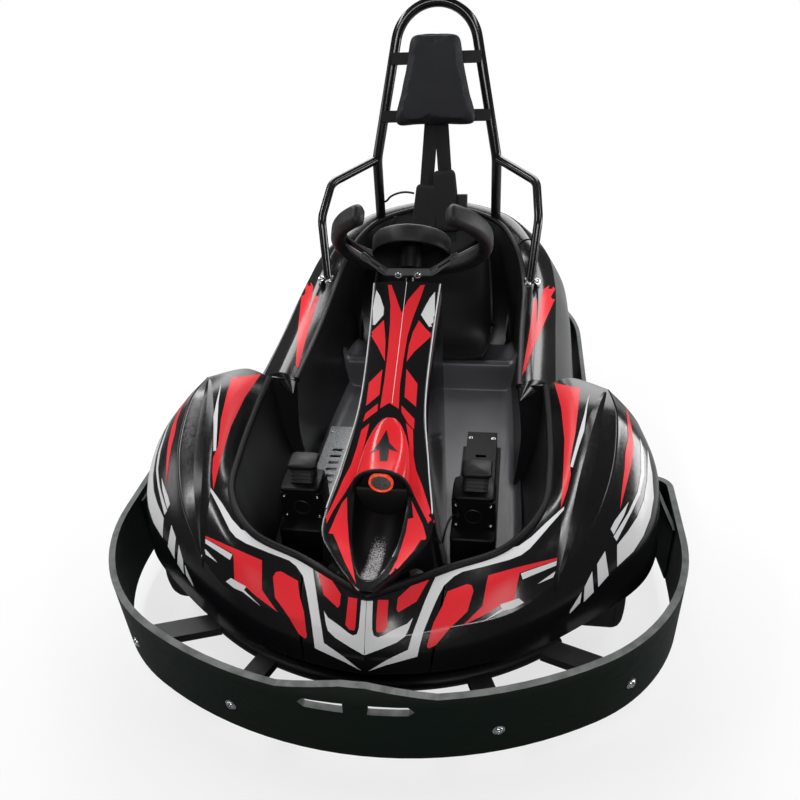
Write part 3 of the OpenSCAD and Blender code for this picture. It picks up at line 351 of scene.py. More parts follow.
def bumper_finish():
    """Green-black plastic: streaks of wear near the band's upper edge, and of painted highlight on faces that
    look up.
    """
    material, tree, shader = node_material("scuffed_bumper_painted_highlight")
    edge = carried(tree, object_axes(tree)["Z"], *EDGE_WEAR_Z, 0.0, EDGE_WEAR)
    tilt = add_node(tree, "SeparateXYZ", {0: source(tree, "NewGeometry", "Normal")}).outputs["Z"]
    # Faces that look up get a painted highlight, mixed with the wear near the upper edge.
    wear_and_highlight = worked_out(tree, "MAXIMUM", edge, carried(tree, tilt, *TOP_HIGHLIGHT_TILT))
    streak = grain(tree, 30, 8.0, (1, 1, 6))
    worn_and_lit = worked_out(tree, "MULTIPLY", wear_and_highlight, streak)
    colour = ramp(tree, worn_and_lit, [(0.0, (0.0022, 0.0085, 0.005)), (0.6, (0.17, 0.18, 0.175))])
    rough = spread(tree, streak, 0.46, 0.54)
    feed(tree, shader, {"Base Color": colour, "Roughness": rough, "Specular IOR Level": 0.10})
    bump(tree, shader, grain(tree, 900, 3.0), 0.00008)
    return material


def pocket_finish():
    """Moulded grain with painted glints: pale specks on black along the middle line, more of them towards the
    nose.
    """
    material, tree, shader = node_material("pocket_grain_and_glints")
    axes = object_axes(tree)
    near = carried(tree, axes["Y"], *GLINTS_Y)
    middle = carried(tree, worked_out(tree, "ABSOLUTE", axes["X"]), *GLINTS_X)
    grain_and_glints = grain(tree, 330, 2.0)
    glint_amount = worked_out(tree, "MULTIPLY", middle, worked_out(tree, "MULTIPLY", near, grain_and_glints))
    # The pale specks are painted glints, the light that the grain catches. The same noise gives the grain's
    # bump.
    colour = ramp(tree, glint_amount, [(0.34, (0.003, 0.003, 0.0035)), (0.58, (0.55, 0.54, 0.55))])
    feed(tree, shader, {"Base Color": colour, "Roughness": 0.5, "Specular IOR Level": 0.25})
    bump(tree, shader, grain_and_glints, 0.0002)
    return material


print("bumper and pocket finish functions ready")

# %% [markdown]
# The accelerator's rail is speckled aluminium: a Voronoi pattern gives a small dark spot in each cell.
# The harness is woven, which two crossed waves on the strap's UV map show at far less cost than real
# threads. The button's ring is lit from behind, so it gives off a little light of its own.


# %% Rail, webbing and button finishes
RAIL_CELLS = 210
WEAVE_SCALES = (("X", 22), ("Y", 60))
RING_DARK = (0.8, 0.03, 0.01)


def punched_rail_finish():
    """Grey metal face with small dark specks: cells of a Voronoi pattern, darker near their middles."""
    material, tree, shader = node_material("speckled_aluminium")
    place = source(tree, "TexCoord", "Object")
    cells = add_node(tree, "TexVoronoi", {"Vector": place, "Scale": RAIL_CELLS}).outputs["Distance"]
    colour = ramp(tree, cells, [(0.12, (0.08, 0.08, 0.085)), (0.42, (0.36, 0.37, 0.38))])
    rough = spread(tree, grain(tree, 300), 0.34, 0.5)
    feed(tree, shader, {"Base Color": colour, "Roughness": rough, "Metallic": 0.75})
    bump(tree, shader, cells, 0.0003)
    return material


def webbing_finish():
    """Woven ribs: two waves across and along the strap's UV map, multiplied."""
    material, tree, shader = node_material("woven_webbing")
    place = source(tree, "TexCoord", "UV")
    ribs = [add_node(tree, "TexWave", {"Vector": place, "Scale": scale}, bands_direction=direction)
            for direction, scale in WEAVE_SCALES]
    weave = worked_out(tree, "MULTIPLY", *[wave.outputs["Fac"] for wave in ribs])
    colour = ramp(tree, weave, [(0, (0.003, 0.003, 0.0035)), (1, (0.010, 0.010, 0.011))])
    feed(tree, shader, {"Base Color": colour, "Roughness": 0.72})
    bump(tree, shader, weave, 0.0004)
    return material


def lit_ring_finish():
    """Red translucent ring with a little light of its own, uneven like a lamp behind plastic."""
    material, tree, shader = node_material("lit_red_ring")
    glow = grain(tree, 120, 2.0)
    feed(tree, shader, {"Base Color": ramp(tree, glow, [(0.3, RING_DARK), (0.7, (0.95, 0.10, 0.03))]),
                        "Emission Color": ramp(tree, glow, [(0.3, RING_DARK), (0.7, (1.0, 0.14, 0.05))]),
                        "Emission Strength": 0.6, "Roughness": 0.3})
    return material


BUMPER = bumper_finish()
POCKET_GRAIN_AND_GLINTS = pocket_finish()
SPECKLED = punched_rail_finish()
WEBBING = webbing_finish()
LIT_RING = lit_ring_finish()
print("finishes:", len(bpy.data.materials))

# %% [markdown]
# ## Shapes as grids
# Panels could be sculpted or bent with modifiers, but then they would drift from the CAD. Here every
# surface is a function of two parameters, worked out as a grid of points. Smooth curves through a few
# rows of numbers are Catmull-Rom splines, the same as in the part's own source. A closed sheet joins an
# outer grid, an inner grid and a strip along the border, so a thin panel is still a solid.


# %% Curves and grids
def blend_of_four(a, b, c, d, t):
    """Catmull-Rom: the cubic from b to c whose slopes follow a to c and b to d."""
    return 0.5 * (2 * b + (c - a) * t + (2 * a - 5 * b + 4 * c - d) * t**2 + (3 * b - a - 3 * c + d) * t**3)


def spline(rows, u):
    """Smooth curve through rows, u counts rows; its end rows are repeated outside."""
    rows = np.asarray(rows, float)
    u = np.asarray(u, float)
    last = len(rows) - 1
    i = np.clip(np.floor(u).astype(int), 0, last - 1)
    t = (u - i).reshape(u.shape + (1,) * (rows.ndim - 1))
    a, b, c, d = (rows[np.clip(i + k, 0, last)] for k in (-1, 0, 1, 2))
    return blend_of_four(a, b, c, d, t)


def grid_faces(rows, cols, ring_rows=False, ring_cols=False):
    """Quads between neighbours of a grid counted row by row, closed into a ring where asked."""
    i, j = np.meshgrid(np.arange(rows if ring_rows else rows - 1),
                       np.arange(cols if ring_cols else cols - 1), indexing="ij")
    i2 = (i + 1) % rows
    j2 = (j + 1) % cols
    return np.stack([i * cols + j, i2 * cols + j, i2 * cols + j2, i * cols + j2], -1).reshape(-1, 4)


def closed_sheet(outer, inner):
    """Points and faces of a solid sheet: outer grid, inner grid turned round, strip along the border."""
    rows, cols = outer.shape[:2]
    count = rows * cols
    quads = grid_faces(rows, cols)
    border = np.concatenate([np.arange(cols), np.arange(1, rows) * cols + cols - 1,
                             (rows - 1) * cols + np.arange(cols - 2, -1, -1),
                             np.arange(rows - 2, 0, -1) * cols])
    following = np.roll(border, -1)
    strip = np.stack([border, following, following + count, border + count], -1)
    points = np.concatenate([outer.reshape(-1, 3), inner.reshape(-1, 3)])
    return points, np.concatenate([quads[:, ::-1], quads + count, strip]).tolist()


def grid_normals(grid):
    """Unit normals of a grid: cross product of its slopes along rows and columns."""
    return unit(np.cross(np.gradient(grid, axis=0), np.gradient(grid, axis=1)))


print("curve and grid helpers ready")

# %% [markdown]
# A piece is a mesh with a finish that rides on one body of the kart, and it may stand in for CAD nodes.
# Doubled points are welded and edges past a given angle stay crisp. Where a real edge is rounded, a bevel
# modifier does it, because a rounded edge is what catches the light.


# %% Pieces
def piece(name, points, faces, finish, body, slot, stands_for=(), bevel=0.0, sharp=40):
    """A new mesh piece in metres that rides on a body; edges past the sharp angle stay crisp."""
    mesh = bpy.data.meshes.new(name)
    mesh.from_pydata((np.asarray(points, float).reshape(-1, 3) * MM).tolist(), [], list(faces))
    work = bmesh.new()
    work.from_mesh(mesh)
    bmesh.ops.remove_doubles(work, verts=work.verts, dist=1e-6)
    bmesh.ops.recalc_face_normals(work, faces=work.faces)
    work.to_mesh(mesh)
    work.free()
    return place_piece(name, mesh, finish, body, stands_for, bevel, sharp)


def place_piece(name, mesh, finish, body, stands_for=(), bevel=0.0, sharp=40):
    """Links a finished mesh, smooths it, rounds its edges by bevel millimetres and lets it ride."""
    mesh.shade_smooth()
    mesh.set_sharp_from_angle(angle=math.radians(sharp))
    mesh.materials.clear()
    mesh.materials.append(finish)
    obj = bpy.data.objects.new(name, mesh)
    bpy.context.scene.collection.objects.link(obj)
    if bevel:
        rounding = obj.modifiers.new("edge_rounding", "BEVEL")
        rounding.width = bevel * MM
        rounding.segments = 3
        rounding.limit_method = "ANGLE"
        rounding.angle_limit = math.radians(sharp)
        rounding.harden_normals = True
    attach(obj, body)
    if stands_for:
        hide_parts(*stands_for)
    return obj


def mirror_x(points):
    """The same points on the other side of the kart."""
    return np.asarray(points, float) * np.array([-1.0, 1.0, 1.0])


def flip_x(shape):
    """Mirrors a (points, faces) shape and turns its faces to match."""
    points, faces = shape
    return mirror_x(points), [list(f)[::-1] for f in faces]


def joined(*shapes):
    """Several (points, faces) shapes as one."""
    points = [np.asarray(p, float).reshape(-1, 3) for p, _ in shapes]
    starts = np.cumsum([0] + [len(p) for p in points[:-1]])
    faces = [[int(k) + int(s) for k in f] for s, (_, fs) in zip(starts, shapes) for f in fs]
    return np.concatenate(points), faces


def mirrored(shape):
    """A shape together with its mirror image on the other side of the kart."""
    return joined(shape, flip_x(shape))


def fixed(name, shape, finish, slot, stands_for=(), bevel=0.0, sharp=50):
    """A piece that is fixed to the chassis."""
    return piece(name, *shape, finish, "chassis", slot, stands_for, bevel, sharp)


def tube_faces(rows, cols):
    """Faces of rings counted row by row, with a flat face at each end."""
    ends = [list(range(cols))[::-1], list(range((rows - 1) * cols, rows * cols))]
    return grid_faces(rows, cols, ring_cols=True).tolist() + ends


print("piece helpers ready")

# %% [markdown]
# Tubes, beads and straps are sweeps: a closed profile is carried along a path and kept upright by a
# reference direction. Curve objects with a bevel can do the same, but a mesh gives full control of a
# profile that changes on its way. Bolts, buttons and tyres are profiles that are turned about an axis.


# %% Swept and turned shapes
def sweep(path, profile, ref):
    """Closed profile (side, up) carried along a path: side is square to the path and to ref; flat ends."""
    path = np.asarray(path, float)
    ahead = unit(np.gradient(path, axis=0))
    side = unit(np.cross(ahead, np.broadcast_to(np.asarray(ref, float), path.shape)))
    up = np.cross(side, ahead)
    profile = np.asarray(profile, float)
    if profile.ndim == 2:
        profile = np.broadcast_to(profile, (len(path),) + profile.shape)
    points = path[:, None] + profile[..., :1] * side[:, None] + profile[..., 1:] * up[:, None]
    return points.reshape(-1, 3), tube_faces(len(path), profile.shape[1])


def circle(radius, sides=28):
    """Points of a circle in (side, up)."""
    a = np.linspace(0, 2 * np.pi, sides, endpoint=False)
    return radius * np.stack([np.cos(a), np.sin(a)], -1)


def rounded_rectangle(half_w, half_h, radius, steps=5):
    """Rectangle in (side, up) whose corners are quarter circles."""
    a = np.linspace(0, np.pi / 2, steps)
    arc = radius * np.stack([np.cos(a), np.sin(a)], -1)
    corners = [(1, 1), (-1, 1), (-1, -1), (1, -1)]
    parts = []
    for k, (sx, sy) in enumerate(corners):
        c, s = math.cos(k * math.pi / 2), math.sin(k * math.pi / 2)
        spun = np.stack([arc[:, 0] * c - arc[:, 1] * s, arc[:, 0] * s + arc[:, 1] * c], -1)
        parts.append(spun + [sx * (half_w - radius), sy * (half_h - radius)])
    return np.concatenate(parts)


def filleted(points, radii, steps=10):
    """Path with its corners rounded: at each corner a quadratic arc between the two tangent points."""
    points = np.asarray(points, float)
    out = [points[:1]]
    t = np.linspace(0, 1, steps)[:, None]
    for before, corner, after, radius in zip(points[:-2], points[1:-1], points[2:], radii):
        d0 = unit(before - corner)
        d1 = unit(after - corner)
        reach = radius * math.tan((math.pi - math.acos(float(np.clip(d0 @ d1, -1, 1)))) / 2)
        a, b = corner + d0 * reach, corner + d1 * reach
        out.append((1 - t) ** 2 * a + 2 * t * (1 - t) * corner + t**2 * b)
    out.append(points[-1:])
    return np.concatenate(out)


def turned(profile, at, axis, sides=40):
    """Profile of (radius, height) rows turned about an axis through a point; poles close by themselves."""
    axis = unit(axis)
    side = unit(np.cross(axis, [0.31, 0.9, 0.27]))
    other = np.cross(axis, side)
    a = np.linspace(0, 2 * np.pi, sides, endpoint=False)
    ring = np.cos(a)[:, None] * side + np.sin(a)[:, None] * other
    profile = np.asarray(profile, float)
    points = np.asarray(at, float) + profile[:, None, :1] * ring[None] + profile[:, None, 1:] * axis
    return points.reshape(-1, 3), grid_faces(len(profile), sides, ring_cols=True).tolist()


def bolts(places, axes, head_r, head_h):
    """Button heads on washers with a hex socket ring, all in one mesh, each turned about its own axis."""
    profile = np.array([[0.001, 0.45], [0.42, 0.45], [0.46, 0.98], [0.62, 1.0], [0.85, 0.8], [1.0, 0.45],
                        [1.02, 0.22], [1.35, 0.2], [1.35, 0.0], [0.001, 0.0]]) * [head_r, head_h]
    return joined(*[turned(profile, p, a, 20) for p, a in zip(places, axes)])


print("shape helpers ready")


# %% [markdown]
# Some CAD solids already have the right shape: plates, brackets, wheels. Making them again would gain
# nothing. A copy of such a node is welded, its flat faces are merged, its edges are rounded by a bevel,
# and it stands in for the node, which itself stays as it is.


# %% Dressed copies of CAD nodes
BODY_OF = {n: b for b, members in frame["record"]["behaviour"]["bodies"].items() for n in members}


def dressed(node, finish, bevel=1.0, sharp=32):
    """Copies a CAD node, welds its loose triangles, merges flat faces and rounds its edges."""
    mesh = frame["nodes"][node].data.copy()
    work = bmesh.new()
    work.from_mesh(mesh)
    bmesh.ops.remove_doubles(work, verts=work.verts, dist=2e-6)
    bmesh.ops.dissolve_limit(work, angle_limit=math.radians(0.6), verts=work.verts, edges=work.edges)
    work.to_mesh(mesh)
    work.free()
    return place_piece(node + "_dressed", mesh, finish, BODY_OF[node], [node], bevel, sharp)


for node, finish, bevel in (
        ("main_rails", FRAME_BLACK, 1.5), ("cross_tubes", FRAME_BLACK, 1.0),
        ("kingpin_yokes", FRAME_BLACK, 1.0),
        ("bumper_carrier", FRAME_BLACK, 1.5), ("front_bumper", BUMPER, 3.5), ("rear_bumper", BUMPER, 3.5),
        ("headrest_plates", SEAT_BLACK, 1.2),
        ("battery_packs", CASE_GREY, 6.0), ("drive_motor", MOTOR_GREY, 4.0),
        ("axle_bearings", DARK_STEEL, 2.0),
        ("steering_box", MOTOR_GREY, 3.0), ("drop_arm", DARK_STEEL, 1.5),
        ("steering_column", TUBE_BLACK, 1.0),
        ("knuckle_left", DARK_STEEL, 1.5), ("knuckle_right", DARK_STEEL, 1.5),
        ("tie_rod_left", DARK_STEEL, 1.2), ("tie_rod_right", DARK_STEEL, 1.2),
        ("front_rim_left", ALLOY, 1.0), ("front_rim_right", ALLOY, 1.0), ("rear_rims", ALLOY, 1.0),
        ("rear_axle", DARK_STEEL, 1.2)):
    dressed(node, finish, bevel)

# %% [markdown]
# ## Moulded body
# The nose, the fenders, the pods and the cowl are blow-moulded shells. Subdivided cages would be quick,
# but a cage only comes near its points. Here each section has five control points with a crease at the
# third, and smooth curves join the sections, as in the part's own tables.

# %% Body tables
# Columns: cockpit rim, crown, ridge, side bulge, lower edge; rows from the nose's middle to the fender's rear
FAIRING = np.array([
    [[0, -766, 302], [0, -797, 268], [0, -822, 232], [0, -838, 205], [0, -848, 172]],
    [[146, -676, 296], [143, -730, 276], [137, -786, 244], [131, -814, 210], [125, -828, 170]],
    [[262, -646, 334], [280, -694, 318], [298, -742, 270], [303, -762, 222], [300, -770, 170]],
    [[335, -552, 358], [366, -584, 364], [410, -630, 332], [440, -660, 260], [449, -664, 172]],
    [[352, -430, 376], [397, -448, 414], [472, -492, 404], [544, -538, 312], [562, -549, 172]],
    [[352, -300, 402], [408, -300, 450], [494, -336, 450], [584, -386, 342], [610, -402, 172]],
    [[345, -186, 430], [402, -190, 456], [484, -240, 458], [562, -268, 372], [600, -276, 205]]], float)
# Columns: cockpit rim, crown, shoulder, side, lower edge; rows from behind the fender round the back
REAR_BODY = np.array([
    [[282, -168, 414], [318, -168, 434], [368, -168, 418], [420, -168, 330], [432, -168, 150]],
    [[286, 110, 414], [325, 110, 437], [376, 110, 420], [428, 110, 320], [440, 110, 146]],
    [[292, 384, 430], [332, 388, 458], [382, 394, 436], [430, 400, 335], [440, 402, 165]],
    [[264, 540, 488], [302, 560, 506], [352, 578, 470], [404, 590, 372], [420, 596, 290]],
    [[185, 690, 526], [214, 724, 536], [250, 752, 492], [302, 778, 380], [312, 786, 286]],
    [[0, 775, 540], [0, 815, 548], [0, 846, 500], [0, 878, 380], [0, 888, 240]]], float)
# One mirrored row more makes the curves level where they cross the middle
REAR_ROWS = np.concatenate([REAR_BODY, REAR_BODY[-2:-1] * [-1, 1, 1]])
PANEL_T = 5.0
PANEL_GAP = 3.0
FAIRING_SEAM = 1.0
FAIRING_END = 6.0
POD_END = 3.0
REAR_END = 5.0


def panel_points(table, u, v):
    """Point of a panel: u along the rows, v from the rim to the lower edge; two curves meet at v = 0.5."""
    shape = np.broadcast(u, v).shape
    u = np.broadcast_to(u, shape).ravel()
    v = np.broadcast_to(v, shape).ravel()
    section = spline(table, u)
    lower = v > 0.5
    three = np.where(lower[:, None, None], section[:, 2:5], section[:, 0:3])
    w = np.clip(4 * v - 2 * lower, 0, 2)
    i = np.clip(np.floor(w).astype(int), 0, 1)
    k = np.arange(len(w))
    a, b, c, d = (three[k, np.clip(i + j, 0, 2)] for j in (-1, 0, 1, 2))
    return blend_of_four(a, b, c, d, (w - i)[:, None]).reshape(shape + (3,))


def outward(surface, u, v):
    """Unit normal of a surface function, away from the kart's inside, from small steps in u and v."""
    step = 1e-3
    along_v = surface(u, v + step) - surface(u, v - step)
    return unit(np.cross(along_v, surface(u + step, v) - surface(u - step, v)))


def panel_sheet(table, u0, u1, rows, cols=53):
    """Closed sheet of a panel between two places along its table, its inside a panel's thickness below."""
    u, v = np.meshgrid(np.linspace(u0, u1, rows), np.linspace(0, 1, cols), indexing="ij")
    outer = panel_points(table, u, v)
    return outer, outer + grid_normals(outer) * PANEL_T


def both_halves(outer, inner):
    """Joins a half sheet with its mirror; the half's first row is set exactly on the middle line."""
    whole = []
    for grid in (outer, inner):
        grid[0, :, 0] = 0
        whole.append(np.concatenate([mirror_x(grid[:0:-1]), grid]))
    return closed_sheet(*whole)


print("body sections:", len(FAIRING), "in front,", len(REAR_BODY), "behind")

# %% [markdown]
# Each panel is a range of rows of one table, so neighbours meet along a seam with the same small gap. A
# half that crosses the middle is joined with its mirror into one sheet, so no seam shows on the nose.

# %% Body panels
NOSE_SEAM = PANEL_GAP / 200
COWL_SEAM = PANEL_GAP / 150
PANEL_EDGE = 1.4
TIP_AT = np.array([284.0, -200.0, 390.0])
TIP_EDGE_V = 0.42
TIP_NARROW = 0.97


def panel(name, shape, node):
    """A gloss panel of the body that stands for a CAD node."""
    fixed(name, shape, GLOSS_BLACK, "gloss_panel", [node], PANEL_EDGE)


fender = closed_sheet(*panel_sheet(FAIRING, FAIRING_SEAM + NOSE_SEAM, FAIRING_END, 90))
panel("fender_left", fender, "front_fender_left")
panel("fender_right", flip_x(fender), "front_fender_right")
panel("nose", both_halves(*panel_sheet(FAIRING, 0, FAIRING_SEAM - NOSE_SEAM, 24)), "nose_panel")
pod = closed_sheet(*panel_sheet(REAR_ROWS, 0, POD_END - COWL_SEAM, 60))
panel("pod_left", pod, "side_pod_left")
panel("pod_right", flip_x(pod), "side_pod_right")
# The cowl's rows are taken from the back forwards, so its inside is turned to the other side
cowl_outer, cowl_turned = panel_sheet(REAR_ROWS, REAR_END, POD_END + COWL_SEAM, 44)
panel("cowl", both_halves(cowl_outer, 2 * cowl_outer - cowl_turned), "rear_cowl")
# The pod's inner slope ends in a point in front of the fender's wall
tip_edge = panel_points(REAR_ROWS, np.zeros(13), np.linspace(0, TIP_EDGE_V, 13))
tip_share = np.linspace(TIP_NARROW, 0, 12)[:, None, None]
tip_sheet = tip_edge[None] * (1 - tip_share) + TIP_AT * tip_share
tip = closed_sheet(tip_sheet, tip_sheet + grid_normals(tip_sheet) * PANEL_T)
fixed("pod_tips", mirrored(tip), GLOSS_BLACK, "gloss_panel")
print("body panels done")

# %% [markdown]
# ## Cockpit
# The tub's walls drop from the body's rim to the floor with a slight outward bow. Straight ruled walls
# would be simpler but look like folded sheet. They take the same rims pulled a few millimetres inboard,
# so no wall touches a panel.

# %% Cockpit walls
WALL_T = 4.0
FLOOR_TOP = 95.4
WALL_FOOT = FLOOR_TOP + 1
FRONT_AXLE_Y = -480.0
REAR_AXLE_Y = 560.0
# Columns: x and y of the walls' feet
FRONT_FOOT = np.array([
    [0, -606], [140, -604], [246, -566], [284, -480], [292, -400], [292, -290], [288, -178]], float)
SIDE_FOOT = np.array([[276, -168], [270, 110], [256, 330], [244, 480]], float)
STEP_FOOT = np.array([[288, -178], [276, -171]], float)
WALL_PULL = 4.4
FRONT_PULL = 6.0
WALL_BOW = 14.0
BACK_BOW = (0, 26, -18)
POD_WALL_END = 2.97


def inboard(rims, pull):
    """Rim points pulled level towards the cockpit's middle line."""
    aim_y = np.clip(rims[:, 1], FRONT_AXLE_Y + 180, REAR_AXLE_Y - 60) - rims[:, 1]
    return rims + pull * unit(np.stack([-rims[:, 0], aim_y, np.zeros(len(rims))], -1))


def bowed(top, middle, foot, rows):
    """Grid of smooth curves from top through middle to foot, one column of the wall per point."""
    return np.swapaxes(spline(np.stack([top, middle, foot]), np.linspace(0, 2, rows)), 0, 1)


def wall_sheet(rims, feet, u, rows=26):
    """Wall grid: from rim to foot through a middle point bowed outwards, one column per u."""
    top = spline(rims, u)
    foot = np.concatenate([spline(feet, u), np.full((len(u), 1), WALL_FOOT)], axis=1)
    nose = np.where(top[:, 1] < FRONT_AXLE_Y - 20, top[:, 1] - FRONT_AXLE_Y - 80, 0)
    bow = unit(np.stack([top[:, 0], nose, np.zeros(len(u))], -1))
    outer = bowed(top, (top + foot) / 2 + WALL_BOW * bow, foot, rows)
    return outer, outer + grid_normals(outer) * -WALL_T


front_rims, rear_rims = inboard(FAIRING[:, 0], WALL_PULL), inboard(REAR_BODY[:, 0], WALL_PULL)
front_wall = closed_sheet(*wall_sheet(front_rims, FRONT_FOOT, np.linspace(2.0, FAIRING_END, 70)))
pod_wall = closed_sheet(*wall_sheet(rear_rims, SIDE_FOOT, np.linspace(0, POD_WALL_END, 60)))
step_rims = np.stack([front_rims[-1], rear_rims[0] + [0, -3, 0]])
step_wall = closed_sheet(*wall_sheet(step_rims, STEP_FOOT, np.linspace(0, 1, 6)))
left_walls = joined(front_wall, pod_wall, step_wall)
fixed("cockpit_sides", mirrored(left_walls), SATIN_BLACK, "satin_plastic", ["cockpit_walls"])
front_sheet = wall_sheet(inboard(FAIRING[:, 0], FRONT_PULL), FRONT_FOOT, np.linspace(0, 2.0, 40))
fixed("cockpit_front", both_halves(*front_sheet), SATIN_BLACK, "satin_plastic", ["front_bulkhead"])
print("front and side walls done")

# %% [markdown]
# The tub's floor is moulded in one: level for the feet, a step with a round ridge in front of the seat,
# and a fillet along the walls. One height for each place gives all three. Separate pieces would show
# seams.

# %% Floor and rear wall
FLOOR_T = 3.0
FLOOR_FILLET = 34.0
PLATFORM = {"front": 318.0, "back": 470.0, "top": 172.0, "half": 236.0}
STEP = {"lead": 16.0, "run": 24.0}
RIDGE = {"high": 15.0, "behind": 22.0, "wide": 20.0}
UNDER_WALL = {"floor": 7.0, "platform": 16.0}
CORNER_T = 3.0


def wall_foot_half(y):
    """Half width between the side walls' feet at a place along the kart."""
    feet = np.concatenate([spline(FRONT_FOOT, np.linspace(1, 6, 80)),
                           spline(SIDE_FOOT, np.linspace(0, 3, 80))])
    order = np.argsort(feet[:, 1])
    return np.interp(y, feet[order, 1], feet[order, 0])


def tub_floor():
    """Moulded floor: level, a step with a round ridge up to the seat, and a fillet along both side walls."""
    y = np.concatenate([np.linspace(-600, 290, 70), np.linspace(294, 390, 56), np.linspace(396, 476, 14)])
    rise = np.clip((y - PLATFORM["front"] + STEP["lead"]) / STEP["run"], 0, 1)
    step = (PLATFORM["top"] - FLOOR_TOP) * rise**2 * (3 - 2 * rise)
    ridge = RIDGE["high"] * np.exp(-(((y - PLATFORM["front"] - RIDGE["behind"]) / RIDGE["wide"]) ** 2))
    half = wall_foot_half(y) + UNDER_WALL["floor"] + UNDER_WALL["platform"] * rise
    x = half[:, None] * np.sin(np.linspace(-np.pi / 2, np.pi / 2, 61))[None]
    into = np.clip(np.abs(x) - (half[:, None] - FLOOR_FILLET), 0, FLOOR_FILLET)
    z = FLOOR_TOP + (step + ridge)[:, None] + FLOOR_FILLET - np.sqrt(FLOOR_FILLET**2 - into**2)
    top = np.stack([x, np.broadcast_to(y[:, None], x.shape), z], -1)
    return closed_sheet(top, top - [0, 0, FLOOR_T])


def seat_back_wall():
    """Rear wall: from the cowl's rim to the seat platform's back edge through a point bowed back and down."""
    u = np.linspace(REAR_END, POD_END, 50)
    top = spline(inboard(REAR_ROWS[:, 0], WALL_PULL), u)
    share = (REAR_END - u) / (REAR_END - POD_END)
    level = np.full(len(u), PLATFORM["top"] + 1)
    foot = np.stack([PLATFORM["half"] * share, np.full(len(u), PLATFORM["back"] + 2), level], -1)
    outer = bowed(top, (top + foot) / 2 + BACK_BOW, foot, 30)
    return outer, outer + grid_normals(outer) * WALL_T


# The floor's lighter grey finish is painted sheen on the black moulding.
fixed("tub_floor", tub_floor(), TUB_FLOOR_PAINTED_SHEEN, "satin_plastic", ["floor_pan"])
back_outer, back_inner = seat_back_wall()
fixed("cockpit_back", both_halves(back_outer, back_inner), SATIN_BLACK, "satin_plastic", ["seat_bulkhead"])
# The corner between the last column of the pod's wall and the rear wall's edge, with a short overlap
side_end = wall_sheet(rear_rims, SIDE_FOOT, np.array([2.94, POD_WALL_END]), 30)[0][-1]
blend_share = np.linspace(-0.05, 1.05, 8)[:, None, None]
corner_sheet = side_end * (1 - blend_share) + back_outer[-1] * blend_share
corner = closed_sheet(corner_sheet, corner_sheet + [CORNER_T, 0, 0])
fixed("cockpit_corners", mirrored(corner), SATIN_BLACK, "satin_plastic", (), 0, 60)
print("floor and rear wall done")

# %% [markdown]
# The body's edge round the cockpit is rolled over into a dull black bead. A bevel on a thin sheet can't
# become thicker than the sheet, so the bead is a small circle carried along the rim.

# %% Rolled rim
RIM_BEAD = 9.0
BEAD_DROP = (0, 0, -2)
UPRIGHT = (0, 0.1, 1)
front_rim = spline(FAIRING[:, 0], np.linspace(0, FAIRING_END, 110)) + BEAD_DROP
front_rim = np.concatenate([mirror_x(front_rim[:0:-1]), front_rim])
rear_rim = spline(REAR_ROWS[:, 0], np.linspace(0, REAR_END, 90)) + BEAD_DROP
rear_rim = np.concatenate([rear_rim, mirror_x(rear_rim[-2::-1])])
for name, line in (("front_rim_bead", front_rim), ("rear_rim_bead", rear_rim)):
    fixed(name, sweep(line, circle(RIM_BEAD, 16), UPRIGHT), SEAT_BLACK, "gloss_panel")
print("rolled rims done")

# %% [markdown]
# ## Seat
# The seat is a moulded bucket: a side profile from the front lip to the top of the back, with bolsters
# that rise at the sides. It could be sculpted; a grid that follows the profile one way and the width the
# other needs only eight rows of numbers.

# %% Seat
# Columns: y, z, half width, height of the side bolster
SEAT_PROFILE = np.array([
    [322, 198, 170, 10], [372, 182, 186, 34], [450, 180, 196, 62], [508, 210, 198, 96],
    [556, 302, 194, 104], [606, 404, 184, 78], [650, 492, 166, 44], [676, 540, 140, 12]], float)
SEAT_T = 6.0
BOLSTER_POWER = 3.2


def seat_shell(rows=90, cols=61):
    """Across, a sine of q; upwards along the section's normal, the bolster times a power of |q|."""
    s = spline(SEAT_PROFILE, np.linspace(0, len(SEAT_PROFILE) - 1, rows))
    slope = unit(np.gradient(s[:, :2], axis=0))
    q = np.linspace(-1, 1, cols)
    rise = s[:, 3:4] * np.abs(q) ** BOLSTER_POWER
    face = np.stack([s[:, 2:3] * np.sin(q * np.pi / 2), s[:, :1] - slope[:, 1:] * rise,
                     s[:, 1:2] + slope[:, :1] * rise], -1)
    return closed_sheet(face, face + grid_normals(face) * -SEAT_T)


fixed("bucket_seat", seat_shell(), SEAT_BLACK, "satin_plastic", ["seat"], 1.2)
print("seat done")

# %% [markdown]
# ## Console
# The console carries the steering column's cover, a red scoop with the start button, and a deep oval
# pocket in front of it. A boolean cut would leave a hard edge of long triangles round the pocket. Its
# skin is one grid instead: up one side, over the top with the pocket pressed in, down the other.

# %% Console
CONSOLE_FOOT = FLOOR_TOP + 0.6
# Columns: top y, top z, top half width, foot y, foot z, foot half width, hollow of the top
CONSOLE = np.array([
    [-774, 322, 12, -766, 312, 18, 0],
    [-700, 338, 76, -682, 300, 84, 8],
    [-632, 354, 110, -620, 172, 128, 10],
    [-500, 405, 92, -500, CONSOLE_FOOT, 126, 4],
    [-366, 474, 72, -372, CONSOLE_FOOT, 112, -4],
    [-200, 556, 73, -262, CONSOLE_FOOT, 104, -5],
    [-56, 630, 80, -190, CONSOLE_FOOT, 96, -6]], float)
CONSOLE_T = 4.0
CONSOLE_END = len(CONSOLE) - 1.0
POCKET_ENDS = (0.35, 2.68)
POCKET_HALF = 60.0
POCKET_DEPTH = 66.0
EDGE_SHARE = 0.16


